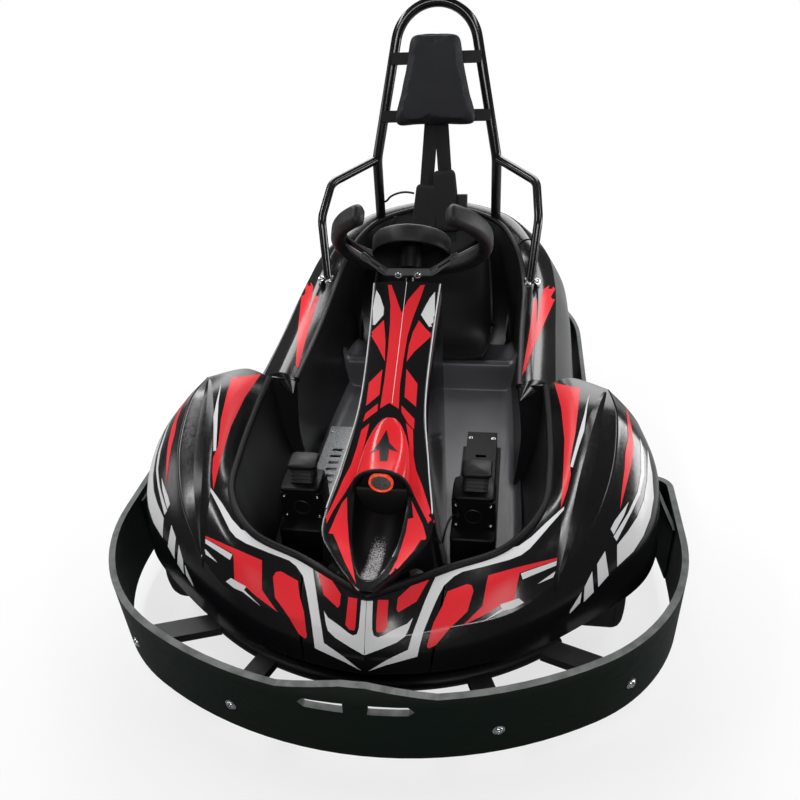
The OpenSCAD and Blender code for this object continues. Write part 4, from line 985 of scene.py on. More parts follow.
def pocket(x, y):
    """Depth of the pocket: deepest at the button end, running out towards the nose, round across."""
    y0, y1 = spline(CONSOLE, np.array(POCKET_ENDS))[:, 0]
    t = np.clip((y1 - y) / (y1 - y0), 0, 1)
    q = np.clip(1 - (x / POCKET_HALF) ** 2 / np.maximum(1 - t**2, 1e-6), 0, 1)
    return np.where((y > y0) & (y < y1), POCKET_DEPTH * (1 - t**2) * np.sqrt(q), 0)


def console_points(u, v):
    """u along the console; v from 0 at the left foot, over the top between two edges, to 1 at the right."""
    shape = np.broadcast(u, v).shape
    c = spline(CONSOLE, np.broadcast_to(u, shape).ravel())
    v = np.broadcast_to(v, shape).ravel()
    side = np.where(v < 0.5, 1.0, -1.0)
    down = np.minimum(v, 1 - v) / EDGE_SHARE
    across = np.clip((v - EDGE_SHARE) / (1 - 2 * EDGE_SHARE), 0, 1)
    x = c[:, 2] * np.cos(np.pi * across)
    top = np.stack([x, c[:, 0], c[:, 1] - c[:, 6] * (1 - (x / c[:, 2]) ** 2) - pocket(x, c[:, 0])], -1)
    edge = np.stack([side * c[:, 2], c[:, 0], c[:, 1]], -1)
    foot = np.stack([side * c[:, 5], c[:, 3], np.maximum(c[:, 4], CONSOLE_FOOT)], -1)
    low = foot + (edge - foot) * np.clip(down, 0, 1)[:, None]
    return np.where((down < 1)[:, None], low, top).reshape(shape + (3,))


def console_outer(u, v):
    """The console's outer skin, a skin's thickness above the table's surface."""
    step = 2e-3
    along_u = console_points(u + step, v) - console_points(u - step, v)
    normal = unit(np.cross(along_u, console_points(u, v + step) - console_points(u, v - step)))
    return console_points(u, v) + CONSOLE_T * normal


def console_sheet():
    """Closed sheet whose columns follow the pocket's outline, with cosine spacing across the pocket."""
    end = POCKET_ENDS[1]
    u = np.concatenate([np.linspace(0, end - 0.02, 120), end + np.array([-0.004, 0.004]),
                        np.linspace(end + 0.02, CONSOLE_END, 60)])
    c = spline(CONSOLE, u)
    y0, y1 = spline(CONSOLE, np.array(POCKET_ENDS))[:, 0]
    t = np.clip((y1 - c[:, 0]) / (y1 - y0), 0, 1)
    bound = np.clip(POCKET_HALF * np.sqrt(1 - t**2), 2, 0.9 * c[:, 2])[:, None]
    half = c[:, 2:3]
    out = np.linspace(0, 1, 16)[None, :-1]
    across = bound * np.cos(np.linspace(0, np.pi, 56))[None]
    outside = half + (bound - half) * out
    x = np.concatenate([outside, across, -outside[:, ::-1]], axis=1)
    y = np.broadcast_to(c[:, :1], x.shape)
    top = np.stack([x, y, c[:, 1:2] - c[:, 6:7] * (1 - (x / half) ** 2) - pocket(x, y)], -1)
    down = np.linspace(0, 1, 11)[None, :-1, None]
    foot = np.stack([c[:, 5], c[:, 3], np.maximum(c[:, 4], CONSOLE_FOOT)], -1)[:, None]
    left = foot + (top[:, :1] - foot) * down
    inner = np.concatenate([left, top, mirror_x(left[:, ::-1])], axis=1)
    return closed_sheet(inner + grid_normals(inner) * CONSOLE_T, inner)


print("console surface ready")

# %% [markdown]
# The skin is gloss black and its pocket has the grained finish with painted glints, face by face. Thin
# pale lines along the edges and the middle are painted highlights: fine pale beads that stand for the light
# that the rolled edges of the real cover catch.

# %% Console pieces
GRAIN_DEPTH = 3.0
EDGE_HIGHLIGHT_R = 1.5
MIDDLE_HIGHLIGHT_R = 0.9
console = fixed("console", console_sheet(), GLOSS_BLACK, "satin_plastic", ["steering_console"])
console.data.materials.append(POCKET_GRAIN_AND_GLINTS)
middles = np.empty(len(console.data.polygons) * 3)
console.data.polygons.foreach_get("center", middles)
middles = middles.reshape(-1, 3) / MM
grained = pocket(middles[:, 0], middles[:, 1]) > GRAIN_DEPTH
console.data.polygons.foreach_set("material_index", grained.astype(np.int32))
# Painted highlights: pale beads along both edges and the middle line stand for the light that the rolled
# edges catch.
edge = spline(CONSOLE, np.linspace(2.3, CONSOLE_END - 0.02, 90))
edge_line = np.stack([edge[:, 2] + 2.5, edge[:, 0], edge[:, 1] + 3.2], -1)
edge_highlight_bead = sweep(edge_line, circle(EDGE_HIGHLIGHT_R, 10), UPRIGHT)
middle = spline(CONSOLE, np.linspace(4.0, CONSOLE_END - 0.05, 60))
middle_line = np.stack([0 * middle[:, 0], middle[:, 0], middle[:, 1] - middle[:, 6] + CONSOLE_T + 0.6], -1)
highlight_beads = joined(mirrored(edge_highlight_bead), sweep(middle_line, circle(MIDDLE_HIGHLIGHT_R, 8), UPRIGHT))
fixed("console_painted_highlights", highlight_beads, PALE_VINYL, "satin_plastic", (), 0, 60)
print("console faces:", len(console.data.polygons))

# %% [markdown]
# ## Scoop and start button
# A red half dome sits on the console with its mouth to the nose and a black lip. A scaled half sphere
# would be too plump, so width and height shrink towards the tail by their own rules. The button inside it
# has a black bezel, a lit ring and a speckled cap, all turned about the button's axis.

# %% Scoop and button
SCOOP_Y = (-556.0, -404.0)
SCOOP_HALF = 60.0
SCOOP_H = 66.0
SCOOP_LIFT = 5.0
SCOOP_T = 3.0
SCOOP_LIP = 5.0
BUTTON_R = 25.0
BUTTON_TILT = math.radians(7)
PLATE_Y = SCOOP_Y[0] + 16.6
PLATE_HALF = 46.0
PLATE_H = 48.0
PLATE_T = 4.0
PLATE_STEPS = 40
# Columns: radius, height along the button's axis
BEZEL = [[21.9, -8], [26.6, -8], [26.6, 2], [21.9, 2], [21.9, -8]]
RING = [[22, 1], [26, 1], [26, 8.4], [25, 9.6], [23, 9.6], [22, 8.6], [22, 1]]
CAP = [[0.001, -6], [21.8, -6], [21.8, 6.2], [20.6, 7.4], [11, 8.0], [0.001, 8.2]]


def console_top(x, y):
    """Height of the console's table surface at a point, without its pocket."""
    fine = np.linspace(0, CONSOLE_END, 600)
    rows = spline(CONSOLE, fine)
    c = spline(CONSOLE, np.interp(y, rows[:, 0], fine))
    return c[..., 1] - c[..., 6] * (1 - (x / c[..., 2]) ** 2)


def scoop_points(u, v):
    """u from mouth to tail, v over the dome: half width and height shrink towards the tail."""
    u, v = np.broadcast_arrays(np.asarray(u, float), np.asarray(v, float))
    y = SCOOP_Y[0] + (SCOOP_Y[1] - SCOOP_Y[0]) * u
    half = SCOOP_HALF * np.sqrt(np.clip(1 - 0.93 * u**2, 0, 1))
    high = SCOOP_H * (1 - 0.86 * u)
    x = half * np.cos(np.pi * v)
    dome = high * np.sin(np.pi * np.clip(v, 0, 1)) ** 0.8
    return np.stack([x, y, console_top(x, y) + SCOOP_LIFT + dome], -1)


u, v = np.meshgrid(np.linspace(0, 1, 50), np.linspace(0, 1, 60), indexing="ij")
dome = scoop_points(u, v)
scoop = closed_sheet(dome, dome - grid_normals(dome) * SCOOP_T)
fixed("red_scoop", scoop, RED_SCOOP, "red_panel", ["button_scoop"], 1.2)
mouth = scoop_points(0.0, np.linspace(0.02, 0.98, 60)) + [0, -1, -4]
fixed("scoop_lip", sweep(mouth, circle(SCOOP_LIP, 14), (0, -1, 0.1)), SEAT_BLACK, "button_plastic")

plate_z = float(console_top(0.0, PLATE_Y)) + SCOOP_LIFT + 0.2
a = np.linspace(0, np.pi, PLATE_STEPS)
plate_edge = np.stack([PLATE_HALF * np.cos(a), np.full(PLATE_STEPS, PLATE_Y),
                       plate_z + PLATE_H * np.sin(a)], -1)
plate = np.concatenate([plate_edge, plate_edge - [0, PLATE_T, 0]]), tube_faces(2, PLATE_STEPS)
fixed("button_plate", plate, SEAT_BLACK, "button_plastic", ["start_button"], 0.8, 40)
button_at = np.array([0, PLATE_Y - 8, plate_z + BUTTON_R - 4])
button_out = np.array([0, -math.cos(BUTTON_TILT), -math.sin(BUTTON_TILT)])
for name, profile, sides, finish in (
        ("button_bezel", BEZEL, 64, SEAT_BLACK), ("button_lit_ring", RING, 64, LIT_RING),
        ("button_cap", CAP, 48, SPECKLED)):
    fixed(name, turned(profile, button_at, button_out, sides), finish, "button_plastic", (), 0, 30)
print("button at", button_at)

# %% [markdown]
# ## Roll hoop
# The hoop and the guards are bent tube. A bent tube is a circle carried along a route whose corners are
# filleted, as on a bending machine. The hoop leans back above its shoulders and its legs close in to a
# round top; the guards end in round feet that are bolted to the pods.

# %% Hoop and guards
HOOP_R = 16.0
HOOP_X = 193.0
HOOP_Y = 700.0
HOOP_FOOT_Z = 138.0
SHOULDER_Z = 724.0
HOOP_LEAN = math.radians(16)
HOOP_TAPER = math.radians(10.8)
HOOP_RUN = 352.0
GUARD_R = 13.0
GUARD_RUN = np.array([[196, 697, 722.5], [318, 560, 690], [326, 420, 625], [308, 352, 462]])
# Columns: radius, height of the guard's foot
GUARD_FOOT = [[0.001, -6], [19, -6], [19, 1], [17, 3.5], [14, 4.5], [0.001, 4.5]]
GUARD_BOLTS = np.array([[20, -8, -1], [-6, -22, -4]])
GUARD_BOLT_AXES = np.array([[0.3, -0.5, 0.8], [0.0, -0.6, 0.8]])


def on_hoop(x, run):
    """Point on the hoop's leaning plane: x across, run up along the lean from the shoulders."""
    x, run = np.broadcast_arrays(np.asarray(x, float), np.asarray(run, float))
    return np.stack([x, HOOP_Y + run * math.sin(HOOP_LEAN), SHOULDER_Z + run * math.cos(HOOP_LEAN)], -1)


def hoop_path():
    """Half of the hoop's middle line, from a foot to the top, then its mirror."""
    end_x = HOOP_X - HOOP_RUN * math.tan(HOOP_TAPER)
    arc_r = end_x / math.cos(HOOP_TAPER)
    centre = HOOP_RUN - arc_r * math.sin(HOOP_TAPER)
    shoulder = [HOOP_X, HOOP_Y, SHOULDER_Z]
    leg = filleted([[HOOP_X, HOOP_Y, HOOP_FOOT_Z], shoulder, on_hoop(end_x, HOOP_RUN)], [110], 14)
    a = np.linspace(HOOP_TAPER, np.pi / 2, 30)
    arc = on_hoop(arc_r * np.cos(a), centre + arc_r * np.sin(a))
    half = np.concatenate([leg[:-1], arc])
    return np.concatenate([half, mirror_x(half[-2::-1])])


hoop_line = hoop_path()
fixed("hoop_tube", sweep(hoop_line, circle(HOOP_R, 32), (0, 1, 0.2)), TUBE_BLACK, "black_steel",
      ["roll_hoop"])
guard_line = filleted(GUARD_RUN, [70, 60], 14)
guard = joined(sweep(guard_line, circle(GUARD_R, 28), (0.75, 0.55, 0.1)),
               turned(GUARD_FOOT, GUARD_RUN[-1], (0, 0, 1), 36))
fixed("guard_tubes", mirrored(guard), TUBE_BLACK, "black_steel", ["arm_guards"])
heads = bolts(GUARD_RUN[-1] + GUARD_BOLTS, GUARD_BOLT_AXES, 8, 7)
fixed("guard_foot_bolts", mirrored(heads), CHROME, "bare_steel", (), 0, 30)
print("hoop length", round(float(np.linalg.norm(np.diff(hoop_line, axis=0), axis=1).sum())), "mm")

# %% [markdown]
# The headrest is a foam pad in a tight cover: a trapezoid with round corners. A bevelled block looks
# hard, so the pad starts a little small, is remeshed evenly and swollen by a short cloth simulation with
# pressure. Its face crowns and its edges pull in like a stuffed pad. How far a point may move is capped.

# %% Headrest pad
PAD_T = 42.0
PAD_BACK = HOOP_R + 6.0
PAD_LOW = {"half": 138.0, "run": 92.0}
PAD_TOP = {"half": 78.0, "run": 366.0}
PAD_CORNER = 26.0
PAD_SMALL = 4.0
SWELL_PRESSURE = 4.0
SWELL_CAP = 0.007
SWELL_FRAMES = 20


def pad_outline(inset):
    """Trapezoid (x, run) with round corners, moved in by inset."""
    low, high = PAD_LOW["half"] - inset, PAD_TOP["half"] - inset
    y0, y1 = PAD_LOW["run"] + inset, PAD_TOP["run"] - inset
    corners = np.array([[low, y0], [high, y1], [-high, y1], [-low, y0]])
    middle = (corners[-1:] + corners[:1]) / 2
    loop = np.concatenate([middle, corners, middle])
    flat = np.concatenate([loop, np.zeros((len(loop), 1))], axis=1)
    return filleted(flat, [PAD_CORNER] * 4, 9)[:-1, :2]


def headrest_mesh():
    """Rings from the back face over a rounded side to the front face, closed by a face at each end."""
    steps = [(8, 0), (2, 2), (0, 8), (0, PAD_T - 16), (2.5, PAD_T - 6), (8, PAD_T - 2), (16, PAD_T)]
    rings = []
    for inset, depth in steps:
        line = pad_outline(PAD_SMALL + inset)
        back = on_hoop(line[:, 0], line[:, 1])
        rings.append(back - (PAD_BACK + depth) * np.array([0, math.cos(HOOP_LEAN), -math.sin(HOOP_LEAN)]))
    n = len(rings[0])
    faces = grid_faces(len(rings), n, ring_cols=True).tolist()
    faces += [list(range(n)), list(range((len(rings) - 1) * n, len(rings) * n))[::-1]]
    return np.concatenate(rings), faces


def swell(obj, pressure, cap):
    """Voxel remesh, some frames of cloth with pressure and no gravity, moves capped, result applied."""
    remesh = obj.modifiers.new("even_mesh", "REMESH")
    remesh.mode = "VOXEL"
    remesh.voxel_size = 0.005
    bpy.context.view_layer.objects.active = obj
    bpy.ops.object.modifier_apply(modifier=remesh.name)
    start = np.empty(len(obj.data.vertices) * 3)
    obj.data.vertices.foreach_get("co", start)
    cloth = obj.modifiers.new("stuffing", "CLOTH")
    cloth.settings.use_pressure = True
    cloth.settings.uniform_pressure_force = pressure
    cloth.settings.effector_weights.gravity = 0
    scene = bpy.context.scene
    for step in range(1, SWELL_FRAMES + 1):
        scene.frame_set(step)
    shaped = obj.evaluated_get(bpy.context.evaluated_depsgraph_get()).to_mesh()
    end = np.empty(len(start))
    shaped.vertices.foreach_get("co", end)
    obj.modifiers.remove(cloth)
    scene.frame_set(1)
    move = (end - start).reshape(-1, 3)
    far = np.linalg.norm(move, axis=1, keepdims=True)
    move *= np.minimum(1, cap / np.maximum(far, 1e-9))
    obj.data.vertices.foreach_set("co", (start.reshape(-1, 3) + move).ravel())
    obj.data.update()
    print(obj.name, "swelled by up to", round(float(np.minimum(far, cap).max() * 1000), 1), "mm")


pad = fixed("headrest", headrest_mesh(), FOAM_COVER, "soft_cover", ["headrest_pad"], 0, 60)
swell(pad, SWELL_PRESSURE, SWELL_CAP)
pad.data.shade_smooth()
smoother = pad.modifiers.new("fine_surface", "SUBSURF")
smoother.levels = smoother.render_levels = 1

# %% [markdown]
# ## Harness
# Two shoulder straps come down from the headrest plate to the seat, each through a soft sleeve, with a
# buckle on one side. Cloth simulation could drape them, but tight straps hardly hang. Webbing is swept
# flat and carries its own UV map for the weave.

# %% Harness
HARNESS_TOP = on_hoop(0, 107) + 19 * np.array([0, -math.cos(HOOP_LEAN), math.sin(HOOP_LEAN)])
HARNESS_LOW = np.array([0, 627.8, 470])
STRAP = {"half_w": 22.0, "half_t": 1.2, "sag": 3.0}
SLEEVE = {"half_w": 42.0, "taper": 6.0, "half_t": 9.5, "lift": 7.5, "low": 0.1}
FACE_FRONT = (0, -1, 0.2)


def down_harness(t):
    """Point on the straight line from the seat, t = 0, to the plate, t = 1."""
    return HARNESS_LOW + (HARNESS_TOP - HARNESS_LOW) * np.asarray(t, float)[..., None]


def strap(x_top, x_low):
    """Flat webbing that hangs in a slight sag between its ends."""
    t = np.linspace(1, 0.01, 40)
    sag = STRAP["sag"] * np.sin(np.pi * t) - STRAP["half_t"]
    path = down_harness(t) + np.stack([x_low + (x_top - x_low) * t, sag, 0 * t], -1)
    return sweep(path, rounded_rectangle(STRAP["half_w"], STRAP["half_t"], 1.1, 3), FACE_FRONT)


def sleeve(x_top, x_low, t_top):
    """Soft sleeve over a strap up to t_top: a rounded section that closes at both ends."""
    t = np.linspace(t_top, SLEEVE["low"], 44)
    k = (t - SLEEVE["low"]) / (t_top - SLEEVE["low"])
    path = down_harness(t) + np.stack([x_low + (x_top - x_low) * k, 0 * t - SLEEVE["lift"], 0 * t], -1)
    ends = np.clip(np.minimum(k, 1 - k) * 9, 0, 1)
    ends = np.sqrt(1 - (1 - ends) ** 2)
    half = (SLEEVE["half_w"] - SLEEVE["taper"] * k) * (0.7 + 0.3 * ends)
    thick = SLEEVE["half_t"] * (0.35 + 0.65 * ends)
    profile = np.stack([rounded_rectangle(w, h, 0.85 * h, 6) for w, h in zip(half, thick)])
    return sweep(path, profile, FACE_FRONT)


def strip_uv(obj, scale):
    """UV from the piece's own x and z, so the ribs run across and along the strap."""
    mesh = obj.data
    corner = np.empty(len(mesh.loops), int)
    mesh.loops.foreach_get("vertex_index", corner)
    place = np.empty(len(mesh.vertices) * 3)
    mesh.vertices.foreach_get("co", place)
    uv = place.reshape(-1, 3)[corner][:, [0, 2]] * scale
    mesh.uv_layers.new(name="weave").data.foreach_set("uv", uv.ravel())


print("harness helpers ready")

# %% [markdown]
# The straps stand in for the CAD harness. Sleeves and buckle lie over them.

# %% Harness pieces
BUCKLE_AT = (87, -9, 0)
# Columns: x at the top, x at the seat, and for a sleeve how far up it reaches
STRAP_ENDS = [(-14, -46), (18, 44)]
SLEEVE_ENDS = [(-26, -40, 0.5), (26, 42, 0.62)]
straps = fixed("shoulder_straps", joined(*[strap(*s) for s in STRAP_ENDS]), WEBBING, "webbing", ["harness"])
strip_uv(straps, 6)
sleeves = fixed("strap_sleeves", joined(*[sleeve(*s) for s in SLEEVE_ENDS]), WEBBING, "webbing")
strip_uv(sleeves, 3)
buckle_path = down_harness(np.linspace(0.25, 0.42, 8)) + BUCKLE_AT
buckle = sweep(buckle_path, rounded_rectangle(16, 10, 4), FACE_FRONT)
fixed("harness_buckle", buckle, SATIN_BLACK, "webbing", (), 2)
print("harness done")

# %% [markdown]
# ## Pedals
# Each pedal is a stepped box on the floor with a ribbed rubber boot and a flat pad. Cubes with bevels
# would need one object for each step. Here the parts are stacks of rounded rectangles: level by level a
# half width, a half depth and a corner radius. A long rail with slots runs back from each box; the copy
# of the CAD rail is drawn out a little.


# %% Stacks of levels
def stack(at, levels, lean=0.0):
    """Closed body from levels (z, half width, half depth, corner), each moved sideways by lean times z."""
    rings = []
    for z, half_w, half_d, corner in levels:
        ring = rounded_rectangle(half_w, half_d, corner, 5)
        level = np.stack([ring[:, 0] + lean * z, ring[:, 1], np.full(len(ring), z)], -1)
        rings.append(np.asarray(at, float) + level)
    return np.concatenate(rings), tube_faces(len(rings), len(rings[0]))


def soft_block(low, high, half_w, half_d, corner, edge=3.0):
    """Levels of a block with rounded upper and lower edges."""
    return [(low, half_w - edge, half_d - edge, corner), (low + edge, half_w, half_d, corner),
            (high - edge, half_w, half_d, corner), (high, half_w - edge, half_d - edge, corner)]


def boot_levels(low, high, half_w, half_d, ribs):
    """Levels of a ribbed boot: narrow and wide in turn."""
    z = np.linspace(low, high, 2 * ribs + 1)
    swing = np.where(np.arange(2 * ribs + 1) % 2, 3.0, -2.0)
    return [(h, half_w + s, half_d + s, 9) for h, s in zip(z, swing)]


print("pedal helpers ready")

# %% [markdown]
# Both pedals are built by one loop, because they differ only in where they stand. Screws hold the upper
# box and the rail.

# %% Pedal pieces
PEDAL_X = {"accelerator": -218.0, "brake": 186.0}
PEDAL_BACK = -372.0
BOX_FRONT = -486.0
UPPER_FRONT = -446.0
BOX_TOP = 196.0
UPPER_TOP = 276.0
BOX_HALF = 52.0
UPPER_HALF = 50.0
FLANGE = {"half_w": 47.0, "half_d": 40.0, "high": 15.0}
BOOT = {"half_w": 27.0, "half_d": 22.0, "low": 13.0, "high": 56.0, "ribs": 4}
FOOT_PAD = {"half_w": 34.0, "half_d": 28.0, "low": 54.0, "high": 70.0, "corner": 11.0, "edge": 4.0}
PEDAL_LEAN = 0.1
BOX_RING_Z = 232.0
# Columns: radius, height
BOX_RING = [[17, 0], [21, 0], [21, 2], [19.5, 3], [17, 2], [17, 0]]
GLAND = [[0.001, 0], [5, 0], [5, 14], [4, 17.5], [0.001, 17.5]]
GLAND_AT = (150.0, UPPER_FRONT + 1, 239.8)
BOX_BOLT_X = 40.0
BOX_BOLT_Z = (BOX_TOP + 10, UPPER_TOP - 12)
RAIL_BOLT = {"x": 32.0, "y": -4.0, "z": 132.2}
RAIL_STRETCH = 1.12
TO_NOSE = (0, -1, 0)
for name, x in PEDAL_X.items():
    box_y = (BOX_FRONT + PEDAL_BACK) / 2
    upper_y = (UPPER_FRONT + PEDAL_BACK) / 2
    box_levels = soft_block(FLOOR_TOP + 0.4, BOX_TOP, BOX_HALF, (PEDAL_BACK - BOX_FRONT) / 2, 7)
    upper_levels = soft_block(BOX_TOP - 6, UPPER_TOP, UPPER_HALF, (PEDAL_BACK - UPPER_FRONT) / 2, 7)
    flange_levels = soft_block(UPPER_TOP - 1, UPPER_TOP + FLANGE["high"], FLANGE["half_w"],
                               FLANGE["half_d"], 12)
    housing = joined(stack([x, box_y, 0], box_levels), stack([x, upper_y, 0], upper_levels),
                     stack([x, upper_y - 2, 0], flange_levels))
    fixed(name + "_box", housing, SEAT_BLACK, "satin_plastic", [name + "_pedal"], 0, 40)
    boot = stack([x, upper_y + 2, UPPER_TOP], boot_levels(**BOOT), PEDAL_LEAN)
    foot_pad = stack([x, upper_y + 4, UPPER_TOP], soft_block(**FOOT_PAD), PEDAL_LEAN)
    fixed(name + "_boot", joined(boot, foot_pad), GRIP_FOAM, "satin_plastic")
    ring = turned(BOX_RING, [x, UPPER_FRONT + 0.5, BOX_RING_Z], TO_NOSE, 40)
    fixed(name + "_box_ring", ring, SATIN_BLACK, "satin_plastic", (), 0, 40)
    corners = [[x + side * BOX_BOLT_X, UPPER_FRONT, z] for side in (-1, 1) for z in BOX_BOLT_Z]
    on_rail = [[x + side * RAIL_BOLT["x"], RAIL_BOLT["y"], RAIL_BOLT["z"]] for side in (-1, 1)]
    heads = joined(bolts(corners, [TO_NOSE] * 4, 3.6, 3), bolts(on_rail, [[0, 0, 1]] * 2, 4.2, 3))
    fixed(name + "_bolts", heads, CHROME, "bare_steel", (), 0, 30)

for node, finish in (("accelerator_rail", SPECKLED), ("brake_rail", SEAT_BLACK)):
    rail = dressed(node, finish, 1.2)
    place = np.empty(len(rail.data.vertices) * 3)
    rail.data.vertices.foreach_get("co", place)
    place = place.reshape(-1, 3)
    place[:, 1] = PEDAL_BACK * MM + (place[:, 1] - PEDAL_BACK * MM) * RAIL_STRETCH
    rail.data.vertices.foreach_set("co", place.ravel())
fixed("cable_gland", turned(GLAND, GLAND_AT, TO_NOSE, 20), CABLE, "cable_rubber", (), 0, 40)
print("pedals done")

# %% [markdown]
# ## Cables
# Two short leads are held at both ends: one from the brake pedal to the console, one from the hoop's leg to
# the harness. A simulated cord would sag by itself, but leads this short and stiff hold their bend. Each is a
# tube on a smooth curve through the same points as the solid it stands for.

# %% Cables
PEDAL_LEAD = [[150, -462, 239.8], [144, -478, 262], [137, -498, 267], [128, -515, 247], [121.9, -524, 218]]
BELT_LEAD = [[-174.7, 696.5, 584], [-166, 686, 592], [-149, 666, 612], [-122, 656, 626], [-95, 656, 629],
             [-71, 659, 624]]
for name, points, diameter, node in (
        ("pedal_lead", PEDAL_LEAD, 5, "pedal_cable"), ("belt_lead", BELT_LEAD, 7, "belt_cable")):
    line = spline(points, np.linspace(0, len(points) - 1, 60))
    lead = sweep(line, circle(diameter / 2, 14), (0.3, 1, 0.2))
    fixed(name, lead, CABLE, "cable_rubber", [node])
print("leads done")

# %% [markdown]
# ## Steering wheel
# The rim is a fat foam grip, open at the top, with a slotted steel bracket in front. The hub is a padded
# cup. A torus has no open ends, so the grip is a sweep that closes softly. All of it is worked out in the
# wheel's own frame: across, up along the face, and out towards the driver.

# %% Steering wheel
WHEEL_AT = np.array([0, 64, 697.0])
COLUMN_SLOPE = math.radians(46)
WHEEL_UP = np.array([0, -math.sin(COLUMN_SLOPE), math.cos(COLUMN_SLOPE)])
WHEEL_OUT = np.array([0, math.cos(COLUMN_SLOPE), math.sin(COLUMN_SLOPE)])
WHEEL_R = 188.0
GRIP = {"half_w": 18.0, "half_h": 27.0, "corner": 17.0}
RIM_GAP = math.radians(33)
BRACKET_FACE = 31.0
BRACKET_W = 19.0
BRACKET_T = 5.0
BRACKET_LOW = -97.0
# Start and run of an arm across and towards the driver
ARM_X = (56.0, 64.0)
ARM_Z = (BRACKET_LOW, 44.0)
# Rows: x, y and z of the stay from an arm to the rim
STAY = ([112, 150, 172], [BRACKET_FACE, 16, 4], [-58, -30, -12])
STAY_R = 4.0


def at_wheel(x, y, z):
    """Point in the wheel's frame: x across, y up the face, z towards the driver."""
    x, y, z = np.broadcast_arrays(*(np.asarray(k, float) for k in (x, y, z)))
    flat = WHEEL_AT + x[..., None] * np.array([1.0, 0, 0]) + y[..., None] * WHEEL_UP
    return flat + z[..., None] * WHEEL_OUT


def grip_rim():
    """Rounded section carried round the circle, its ends drawn in to soft caps."""
    a = np.pi / 2 + np.linspace(RIM_GAP, 2 * np.pi - RIM_GAP, 120)
    end = np.linspace(0, 1, 120)
    reach = np.clip(np.minimum(end, 1 - end) * 70, 0, 1)
    size = 0.62 + 0.38 * np.sqrt(1 - (1 - reach) ** 2)
    section = rounded_rectangle(GRIP["half_w"], GRIP["half_h"], GRIP["corner"], 8)
    path = at_wheel(WHEEL_R * np.cos(a), WHEEL_R * np.sin(a), 0)
    return sweep(path, section[None] * size[:, None, None], WHEEL_OUT)


def bracket_strip(x, z, width):
    """Upright strip in front of the hub along points (x, z) of the wheel's frame, width along the column."""
    path = at_wheel(np.asarray(x, float), BRACKET_FACE, np.asarray(z, float))
    return sweep(path, rounded_rectangle(BRACKET_T / 2, width / 2, 1.0, 2), WHEEL_OUT)


def bracket_arm():
    """One arm with a long slot: two rails between two solid ends, rising from the middle to the rim."""
    s = np.linspace(0, 1, 12)
    x, z = ARM_X[0] + ARM_X[1] * s, ARM_Z[0] + ARM_Z[1] * s
    part = BRACKET_W / 3
    rails = [bracket_strip(x, z + side * part, part) for side in (-1, 1)]
    ends = [bracket_strip(x[k], z[k], BRACKET_W) for k in (slice(0, 4), slice(8, 12))]
    return joined(*rails, *ends, sweep(at_wheel(*STAY), circle(STAY_R, 12), WHEEL_UP))


print("wheel helpers ready")

# %% [markdown]
# These pieces ride on the steering body, so they turn with the column. The bolts sit on the bracket's
# face.


# %% Wheel pieces
PAD_R = 100.0
HUB_BOLT = {"x": 24.0, "z": -104.0}
BRACKET_HALF = 58.0
# Columns: radius, height towards the driver
CUP = [[0.001, 6], [86, 6], [95, 3.5], [99, -1], [PAD_R, -7], [PAD_R, -36], [99, -40], [96.5, -42],
       [94.5, -40], [94, -36], [94, -4], [90, -1], [0.001, -1]]
HUB = [[0.001, -0.5], [28, -0.5], [28, -72], [26, -78.4], [0.001, -78.4]]


def on_wheel(name, shape, finish, slot, stands_for=(), sharp=40):
    """A piece that turns with the steering wheel."""
    piece(name, *shape, finish, "steering", slot, stands_for, 0, sharp)


on_wheel("grip_rim", grip_rim(), GRIP_FOAM, "satin_plastic", ["steering_rim"], 60)
cup = turned(CUP, WHEEL_AT, WHEEL_OUT, 90)
on_wheel("wheel_cup", cup, GRIP_FOAM, "satin_plastic", ["steering_pad"], 35)
on_wheel("wheel_hub", turned(HUB, WHEEL_AT, WHEEL_OUT, 48), SEAT_BLACK, "satin_plastic", (), 35)
dressed("steering_spokes", SEAT_BLACK, 0.8)
strip = bracket_strip(np.linspace(-BRACKET_HALF, BRACKET_HALF, 9), np.full(9, BRACKET_LOW), BRACKET_W)
on_wheel("wheel_bracket", joined(strip, mirrored(bracket_arm())), BRACKET_GREY, "bare_steel")
hub_x = np.array([-HUB_BOLT["x"], HUB_BOLT["x"]])
hub_places = at_wheel(hub_x, BRACKET_FACE + BRACKET_T / 2 - 0.4, HUB_BOLT["z"])
on_wheel("hub_bolts", bolts(hub_places, [WHEEL_UP] * 2, 7.5, 8), CHROME, "bare_steel", (), 30)
print("wheel done")

# %% [markdown]
# ## Tyres
# Kart tyres are slicks: a flat tread with round shoulders, a sidewall with a bead rib, and a shallow line
# of wear. A torus would be too round, so a profile of its own is turned about the axle.

# %% Tyres
TYRE_R = 130.0
RIM_R = 68.0
FRONT_TYRE = {"x": 468.0, "y": FRONT_AXLE_Y, "width": 104.0}
REAR_TYRE = {"x": 338.0, "y": REAR_AXLE_Y, "width": 124.0}


def tyre(side, x, y, width):
    """Tyre profile (radius, offset along the axle) turned about the axle line, on one side of the kart."""
    h = width / 2
    half = np.array([
        [RIM_R, h - 9], [RIM_R + 3, h - 4], [RIM_R + 8, h - 1.5], [RIM_R + 11, h - 0.6],
        [RIM_R + 14, h - 1.8],
        [RIM_R + 24, h - 0.4], [RIM_R + 34, h], [TYRE_R - 20, h - 0.6], [TYRE_R - 11, h - 3.5],
        [TYRE_R - 4.5, h - 9], [TYRE_R - 1.2, h - 16], [TYRE_R - 0.2, h - 22], [TYRE_R - 1.4, h - 23],
        [TYRE_R - 0.1, h - 24]])
    profile = np.concatenate([half, half[::-1] * [1, -1], half[:1]])
    return turned(profile, [side * x, y, TYRE_R], (1, 0, 0), 96)


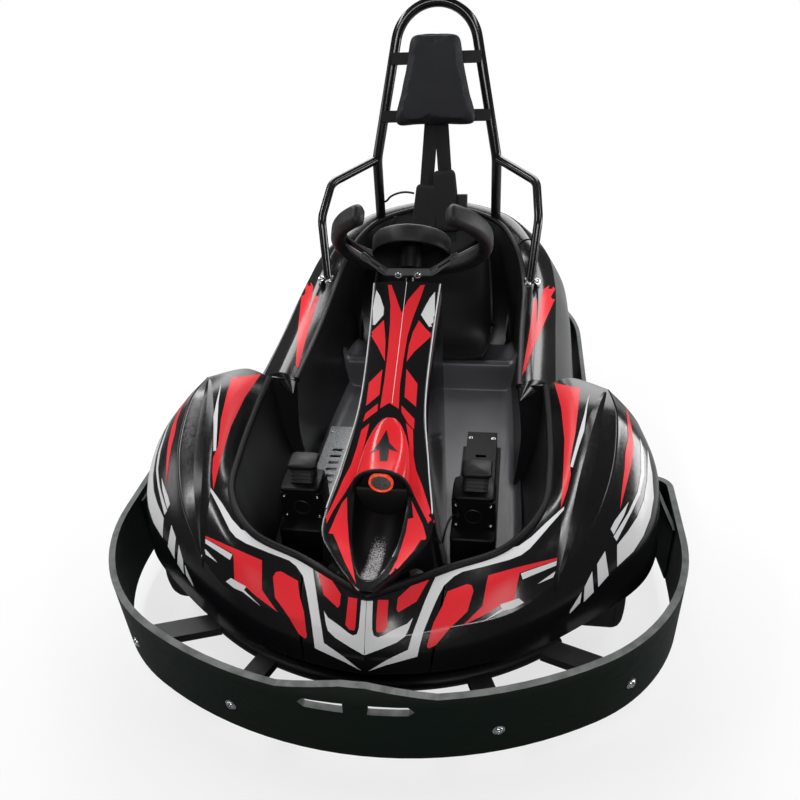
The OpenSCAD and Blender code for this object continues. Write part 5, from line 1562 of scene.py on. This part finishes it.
for name, side in (("left", 1), ("right", -1)):
    front = tyre(side, **FRONT_TYRE)
    piece("tyre_front_" + name, *front, RUBBER, "front_wheel_" + name, "tyre_rubber",
          ["front_tyre_" + name], 0, 35)
rear = joined(tyre(1, **REAR_TYRE), tyre(-1, **REAR_TYRE))
piece("tyres_rear", *rear, RUBBER, "rear_axle", "tyre_rubber", ["rear_tyres"], 0, 35)
print("tyres done")

# %% [markdown]
# ## Bolts
# The front band is held by button heads on washers. In plan the band is a wide arc with a tighter one at
# each corner. A bolt could be set by hand; from the arc's centre its place and its axis come together.

# %% Bolts
BAND_BOLT_Z = 122.0
FRONT_ARC = {"centre": (0.0, -44.0), "radius": 900.0}
CORNER_ARC = {"centre": (250.0, -477.01), "radius": 400.0}
FRONT_BOLT_X = 260.0
CORNER_BOLT_TURN = math.radians(41)


def band_bolt(x, centre, radius):
    """Place and outward axis of a bolt on an arc of the band in plan."""
    turn_here = math.asin((x - centre[0]) / radius)
    out = np.array([math.sin(turn_here), -math.cos(turn_here), 0])
    return np.array([*centre, BAND_BOLT_Z]) + radius * out, out


corner_bolt_x = CORNER_ARC["centre"][0] + CORNER_ARC["radius"] * math.sin(CORNER_BOLT_TURN)
band_places = [band_bolt(FRONT_BOLT_X, **FRONT_ARC), band_bolt(corner_bolt_x, **CORNER_ARC)]
heads = bolts([p for p, _ in band_places], [o for _, o in band_places], 9, 6)
fixed("band_bolts", mirrored(heads), CHROME, "bare_steel", (), 0, 30)
print("band bolts at", [p.round().tolist() for p, _ in band_places])

# %% [markdown]
# ## Vinyl shapes
# The body wears cut vinyl: red and pale grey shards, stripes and chevrons. Their outlines are points in
# the photo. An image could be projected, but a film of its own has clean edges at any distance. Each
# outline is filled with small triangles in the picture, every corner is carried along its line of sight
# to the panel, and the film lies a fraction of a millimetre above the paint. What one side shows is
# mirrored to the other.


# %% Photo pixels and surfaces
def to_pixels(points):
    """Photo pixels of points: their shares along the camera's axes divided by their depth."""
    ray = points - CAMERA_AT
    across = np.stack([ray @ RIGHT, -(ray @ UP)], -1)
    return PHOTO_SIZE / 2 + FOCAL_PX * across / (ray @ FORWARD)[..., None]


def under_pixels(surface, side, pixels, u_range, v_range):
    """Surface parameters at photo pixels: the nearest sample that faces the camera, then Newton steps."""
    mirror = np.array([side, 1.0, 1.0])
    samples = np.meshgrid(np.linspace(*u_range, 90), np.linspace(*v_range, 70), indexing="ij")
    u, v = (k.ravel() for k in samples)
    at = surface(u, v) * mirror
    facing = ((CAMERA_AT - at) * outward(surface, u, v) * mirror).sum(-1) > 0
    seen = to_pixels(at)[facing]
    nearest = np.argmin(((pixels[:, None] - seen[None]) ** 2).sum(-1), axis=1)
    u, v = u[facing][nearest], v[facing][nearest]
    step = 1e-4
    for _ in range(8):
        here = to_pixels(surface(u, v) * mirror)
        along_u = (to_pixels(surface(u + step, v) * mirror) - here) / step
        along_v = (to_pixels(surface(u, v + step) * mirror) - here) / step
        miss = pixels - here
        area = along_u[:, 0] * along_v[:, 1] - along_u[:, 1] * along_v[:, 0]
        area = np.where(np.abs(area) < 1e-6, 1e-6, area)
        u = np.clip(u + (miss[:, 0] * along_v[:, 1] - miss[:, 1] * along_v[:, 0]) / area, *u_range)
        v = np.clip(v + (along_u[:, 0] * miss[:, 1] - along_u[:, 1] * miss[:, 0]) / area, *v_range)
    return u, v


print("pixel helpers ready")

# %% [markdown]
# An outline is filled with points along its edges and a grid inside it, joined by a Delaunay
# triangulation. One large face would cut through the curved panel; small triangles follow it.


# %% Filling outlines
FILM_LIFT = 0.7
FILM_T = 0.4


def inside_outline(points, outline):
    """True for points inside a closed outline, by counting the edges to their right."""
    a, b = outline, np.roll(outline, -1, axis=0)
    x, y = points[:, :1], points[:, 1:]
    spans = (a[:, 1] > y) != (b[:, 1] > y)
    rise = np.where(b[:, 1] == a[:, 1], 1e-9, b[:, 1] - a[:, 1])
    return (spans & (x < a[:, 0] + (y - a[:, 1]) * (b[:, 0] - a[:, 0]) / rise)).sum(1) % 2 == 1


def filled(outline, cell):
    """Triangles that fill an outline: points along its edges and a grid inside, joined by Delaunay."""
    outline = np.asarray(outline, float)
    edges = np.roll(outline, -1, axis=0) - outline
    counts = np.maximum(1, np.ceil(np.linalg.norm(edges, axis=1) / cell).astype(int))
    runs = zip(outline, edges, counts)
    border = np.concatenate([o + e * (np.arange(n) / n)[:, None] for o, e, n in runs])
    low, high = outline.min(0), outline.max(0)
    columns, rows = np.arange(low[0], high[0], cell), np.arange(low[1], high[1], cell)
    grid = np.stack(np.meshgrid(columns, rows), -1).reshape(-1, 2)
    grid = grid[inside_outline(grid, outline)]
    if len(grid):
        gap = np.sqrt(((grid[:, None] - border[None]) ** 2).sum(-1)).min(1)
        grid = grid[gap > 0.45 * cell]
    corners = np.concatenate([border, grid])
    made = delaunay_2d_cdt([Vector(p) for p in corners], [], [list(range(len(border)))], 1, 1e-5)
    return np.array([p[:] for p in made[0]]), made[2]


def closed_film(points, normals, triangles):
    """Solid film over points: a face above, one below, and a strip along the edges that only one face has."""
    count = len(points)
    triangles = np.asarray(triangles, int)
    edges = np.concatenate([triangles[:, [0, 1]], triangles[:, [1, 2]], triangles[:, [2, 0]]])
    lone = ~np.isin(edges[:, 0] * count + edges[:, 1], edges[:, 1] * count + edges[:, 0])
    start, end = edges[lone].T
    rim = np.stack([end, start, start + count, end + count], -1)
    skin = np.concatenate([points + FILM_LIFT * normals, points + (FILM_LIFT - FILM_T) * normals])
    return skin, triangles.tolist() + (triangles[:, ::-1] + count).tolist() + rim.tolist()


def largest_patch(count, triangles):
    """The largest joined patch: corners take the smallest label of their triangles until nothing changes."""
    label = np.arange(count)
    for _ in range(count):
        low = np.repeat(label[triangles].min(axis=1), 3)
        spread_label = label.copy()
        np.minimum.at(spread_label, triangles.ravel(), low)
        if (spread_label == label).all():
            break
        label = spread_label
    home = label[triangles[:, 0]]
    return triangles[home == np.bincount(home).argmax()]


print("filling helpers ready")

# %% [markdown]
# Where the line of sight only grazes the panel, or passes it, a corner can't be placed well. Such
# triangles are dropped, and of what is left the largest joined patch is kept, so no scraps fly about.


# %% Vinyl shapes
CELL_PX = 2.5
MISS_PX = 1.5
LONGEST_MM = 30.0


def vinyl(surface, outline, side, u_range, v_range):
    """One shape laid on a surface of the +X side; side tells on which side of the photo it was read."""
    flat, triangles = filled(outline, CELL_PX)
    u, v = under_pixels(surface, side, flat, u_range, v_range)
    miss = np.linalg.norm(to_pixels(surface(u, v) * np.array([side, 1.0, 1.0])) - flat, axis=1)
    triangles = np.asarray(triangles, int)
    triangles = triangles[miss[triangles].max(axis=1) < MISS_PX]
    at = surface(u, v)
    reach = np.linalg.norm(at[triangles] - at[np.roll(triangles, 1, axis=1)], axis=-1).max(axis=1)
    triangles = largest_patch(len(at), triangles[reach < LONGEST_MM])
    return closed_film(at, outward(surface, u, v), triangles)


def film(name, surface, outlines, limits, finish, slot, both_sides=True):
    """Lays outlines, each with its side of the photo, and joins them into one thin film."""
    whole = joined(*[vinyl(surface, outline, side, *limits) for side, outline in outlines])
    if both_sides:
        whole = mirrored(whole)
    print(name, "shapes:", len(outlines))
    return fixed(name, whole, finish, slot, (), 0, 40)


def read_on(side, outlines):
    """Outlines with the side of the photo on which they were read."""
    return [(side, outline) for outline in outlines]


print("vinyl helpers ready")

# %% [markdown]
# Every surface that carries vinyl is a function of two parameters whose normal points away from the kart.


# %% Surfaces that carry vinyl
def fairing(u, v):
    """The nose and fender surface."""
    return panel_points(FAIRING, u, v)


def rear_panel(u, v):
    """The pod and cowl surface."""
    return panel_points(REAR_ROWS, u, v)


def scoop_skin(u, v):
    """The scoop's outer surface, counted from the other side so that its normal points out."""
    return scoop_points(u, 1 - np.asarray(v, float))


def console_skin(u, v):
    """The console's outer surface, counted from the other side so that its normal points out."""
    return console_outer(u, 1 - np.asarray(v, float))


print("vinyl surfaces ready")

# %% [markdown]
# On the fenders a red wedge runs along the cockpit's rim, a leaf and three pale stripes sweep round the side,
# and three hash blocks step down towards the nose.

# %% Fender and nose outlines, in photo pixels
LEFT, RIGHT_SIDE = -1, 1
FENDER_RED_LEFT = [
    [(231.8, 378), (261, 374), (245, 397), (231, 426), (222, 455), (217, 475), (213.4, 490), (211.5, 462),
     (218, 446), (221, 419), (227, 393)],
    [(205, 535.5), (262, 560.5), (262, 590), (277.5, 612), (256, 596), (246, 587), (234.5, 580),
     (233.5, 554), (205, 538)],
    [(273, 577), (276, 572), (281, 571.5), (298, 581), (299.5, 595), (304, 612), (307, 637), (305, 638.5),
     (299, 634), (289, 617), (275, 597.5)],
    [(314, 553.5), (317, 556), (325, 570), (341, 594), (340, 605), (338, 608), (324, 595), (320, 580),
     (315.5, 563)],
    [(348.5, 597), (357.5, 598.5), (355.5, 627), (354.5, 630.5), (349, 629.5), (345.5, 624.5),
     (347, 612)]]
FENDER_RED_RIGHT = [
    [(626, 407), (631, 425), (633.5, 445), (631.5, 463), (627, 482), (620, 509), (622, 487), (624.5, 468),
     (625, 453), (628, 438), (627.5, 424)]]
FENDER_PALE_LEFT = [
    [(221.5, 382), (218.5, 402), (216, 450.5), (211.7, 452), (211.8, 425), (217, 400)],
    [(204.5, 480), (213, 491), (223, 505), (232, 519.5), (241, 529.5), (262, 537.5), (286, 547.5),
     (311.5, 559.5), (314.5, 580), (319, 611), (324, 643), (342, 655.5), (361, 670.5), (344, 661.5),
     (315, 648), (311, 618), (306.5, 592), (303, 576), (296, 566), (289, 560.5), (268, 552.5),
     (246, 543.5), (236, 537.5), (230, 530.5), (225, 520.5), (219, 508)],
    [(204, 538), (232.5, 554.5), (230, 560), (205, 543)],
    [(204.5, 548), (217.5, 562.5), (206, 554.5)],
    [(226, 581.5), (231, 578), (246.5, 586.5), (244, 590), (260.5, 606), (243, 592), (234, 588)],
    [(324, 611), (328, 617.5), (340, 626), (348, 632.5), (353, 635.5), (357, 634), (359, 628),
     (361.5, 600), (366.5, 601), (364, 655), (350, 647), (335, 637.5), (328, 630.5), (326, 624)]]
FENDER_PALE_RIGHT = [
    [(647.5, 450), (652, 474), (653.5, 498), (650, 518), (643, 536), (633, 551.5), (617, 566.5),
     (617, 545), (628, 531), (637, 517), (643.5, 500), (647, 480)],
    [(628.5, 502), (624, 515), (613.5, 534.5), (610.5, 529), (614.5, 521)],
    [(640, 438), (643, 450), (644, 475), (640, 494), (632, 511), (616.5, 541), (613.5, 536.5), (628, 513),
     (637.5, 492), (641, 472), (641, 452)],
    [(605, 551), (608.5, 575), (598, 587), (597, 564)],
    [(592, 571.5), (593.5, 592), (583.5, 602), (584.5, 587)],
    [(581.5, 592), (580, 602.5), (569.5, 613.5), (570, 610.5)]]
FAIRING_LIMITS = ((0.004, FAIRING_END - 0.01), (0.004, 0.996))
print("fender outlines:", len(FENDER_RED_LEFT + FENDER_RED_RIGHT), "red,",
      len(FENDER_PALE_LEFT + FENDER_PALE_RIGHT), "pale")

# %% [markdown]
# A blade is moulded along each fender. Its crest is read from the photo, carried to the panel, and raised
# there. It sinks to the panel at both ends and both sides, so it needs no fillet.

# %% Fender rib
# The rib's crest on the photo's left fender, from the nose upwards
FENDER_RIB = [(203, 566), (202, 530), (203, 500), (204, 470), (205, 440), (207, 410), (209, 380)]
RIB_HALF = 24.0
RIB_H = 11.0


def fender_rib(rows=60, cols=17):
    """A blade on the fender: a crest that sinks to the panel towards both ends and both sides."""
    line = spline(np.asarray(FENDER_RIB, float), np.linspace(0, len(FENDER_RIB) - 1, rows))
    u, v = under_pixels(fairing, LEFT, line, *FAIRING_LIMITS)
    swell = np.sin(np.pi * np.linspace(0.02, 0.98, rows))[:, None] ** 0.7
    side = np.linspace(-1, 1, cols)[None]
    step = 1e-3
    per_v = np.linalg.norm(fairing(u, v + step) - fairing(u, v - step), axis=-1)[:, None] / (2 * step)
    across = v[:, None] + side * RIB_HALF * swell / per_v
    along = np.broadcast_to(u[:, None], across.shape)
    base, normal = fairing(along, across), outward(fairing, along, across)
    rise = 0.4 + RIB_H * swell * (1 - np.abs(side))
    return closed_sheet(base + normal * rise[..., None], base - normal)


fixed("fender_ribs", mirrored(fender_rib()), GLOSS_BLACK, "gloss_panel", (), 0, 30)
print("fender ribs done")

# %% [markdown]
# The outlines read on either side of the photo are laid on the same surface, and the film is mirrored, so
# the kart carries the same shapes on both sides.

# %% Fender and nose vinyl
fairing_red = read_on(LEFT, FENDER_RED_LEFT) + read_on(RIGHT_SIDE, FENDER_RED_RIGHT)
fairing_pale = read_on(LEFT, FENDER_PALE_LEFT) + read_on(RIGHT_SIDE, FENDER_PALE_RIGHT)
film("fairing_red_vinyl", fairing, fairing_red, FAIRING_LIMITS, RED_VINYL, "red_panel")
film("fairing_pale_vinyl", fairing, fairing_pale, FAIRING_LIMITS, PALE_VINYL, "gloss_panel")

# %% [markdown]
# The console has a red fork that runs down to the scoop, shards on both sides of it, and wedges round the
# pocket. The scoop carries a black arrow head. The pods carry a forked red shard.

# %% Console, scoop and pod outlines, in photo pixels
CONSOLE_RED = [
    [(388, 285), (391.5, 285), (396, 297), (401.5, 313), (408, 300), (420.5, 285.5), (425, 285),
     (421, 297), (413, 318), (407.5, 336), (403.5, 360), (400, 385), (398.8, 409), (389.5, 403),
     (380, 408.5), (384.5, 380), (388, 350), (390, 325), (390.5, 305)],
    [(384, 320), (385.5, 340), (385, 361.5), (378, 347), (370, 334), (377, 327)],
    [(419, 320.5), (426, 329), (432.5, 335), (424, 343), (414, 352), (406.5, 362), (409, 345),
     (413, 332)],
    [(382.5, 369.5), (379.5, 395), (366, 406), (369, 383)],
    [(406.5, 369), (417.5, 384), (416, 407), (404.5, 397)],
    [(378, 403.5), (377.5, 411), (363, 422), (365.5, 413.5)],
    [(401.5, 405.5), (414.5, 419), (414, 429.5), (407.5, 423), (401.5, 412)],
    [(369.5, 423.5), (365, 443), (360, 460), (356, 475), (345, 493), (333, 511), (321, 535), (319, 530),
     (330, 509), (337, 494), (343, 480), (351, 465), (357, 447), (361.5, 430)],
    [(406, 423), (413, 430), (413.5, 455), (416, 470), (422, 485), (431, 513), (440, 536), (439, 540),
     (433, 533), (422, 511), (415, 497), (409, 483), (409, 460), (409, 443)],
    [(347, 497), (347.5, 520), (349, 542), (351.5, 560), (356, 584), (345, 563), (337, 543), (333, 534),
     (328.5, 533.5), (336, 516), (342, 503)],
    [(411.5, 501), (416, 510), (423, 525), (427, 540), (421, 540), (413, 552), (404, 562), (391, 577),
     (386.5, 586), (390, 573), (397, 560), (402, 545), (406, 532), (408, 519), (413.5, 518)]]
CONSOLE_PALE = [
    [(376.5, 290), (380, 296), (384, 308), (383.5, 315), (375, 325), (370.5, 325), (371, 318)],
    [(435, 292), (434.5, 325), (432, 326.5), (429, 327), (421, 315), (425, 307), (430, 298)]]
SCOOP_ARROW = [
    [(386.5, 430), (389.5, 443), (398, 452), (389, 449), (387.5, 461), (380, 461), (379.5, 449),
     (369.5, 454), (379, 443)]]
POD_RED_LEFT = [
    [(303.5, 280), (305, 278.5), (308.5, 278.5), (313.5, 286.5), (312, 297), (304.8, 318.5), (306, 317.5),
     (315.5, 295.5), (318.5, 297), (310, 325), (304, 346), (297.5, 369.5), (295.5, 364), (299, 320),
     (302, 293)]]
CONSOLE_LIMITS = ((0.02, CONSOLE_END - 0.01), (0.03, 0.97))
SCOOP_LIMITS = ((0.03, 0.97), (0.004, 0.996))
POD_LIMITS = ((0.01, POD_END - 0.04), (0.004, 0.996))
print("console outlines:", len(CONSOLE_RED), "red,", len(CONSOLE_PALE), "pale")

# %% [markdown]
# The console's and the scoop's shapes are laid as they are, because both sides of them show in the photo.
# The pod's shape is mirrored.

# %% Console, scoop and pod vinyl
for name, surface, outlines, limits, finish, slot in (
        ("console_red_vinyl", console_skin, CONSOLE_RED, CONSOLE_LIMITS, RED_VINYL, "red_panel"),
        ("console_pale_vinyl", console_skin, CONSOLE_PALE, CONSOLE_LIMITS, PALE_VINYL, "satin_plastic"),
        ("scoop_arrow_vinyl", scoop_skin, SCOOP_ARROW, SCOOP_LIMITS, BLACK_VINYL, "red_panel")):
    film(name, surface, read_on(RIGHT_SIDE, outlines), limits, finish, slot, False)
film("pod_red_vinyl", rear_panel, read_on(LEFT, POD_RED_LEFT), POD_LIMITS, RED_VINYL, "red_panel")
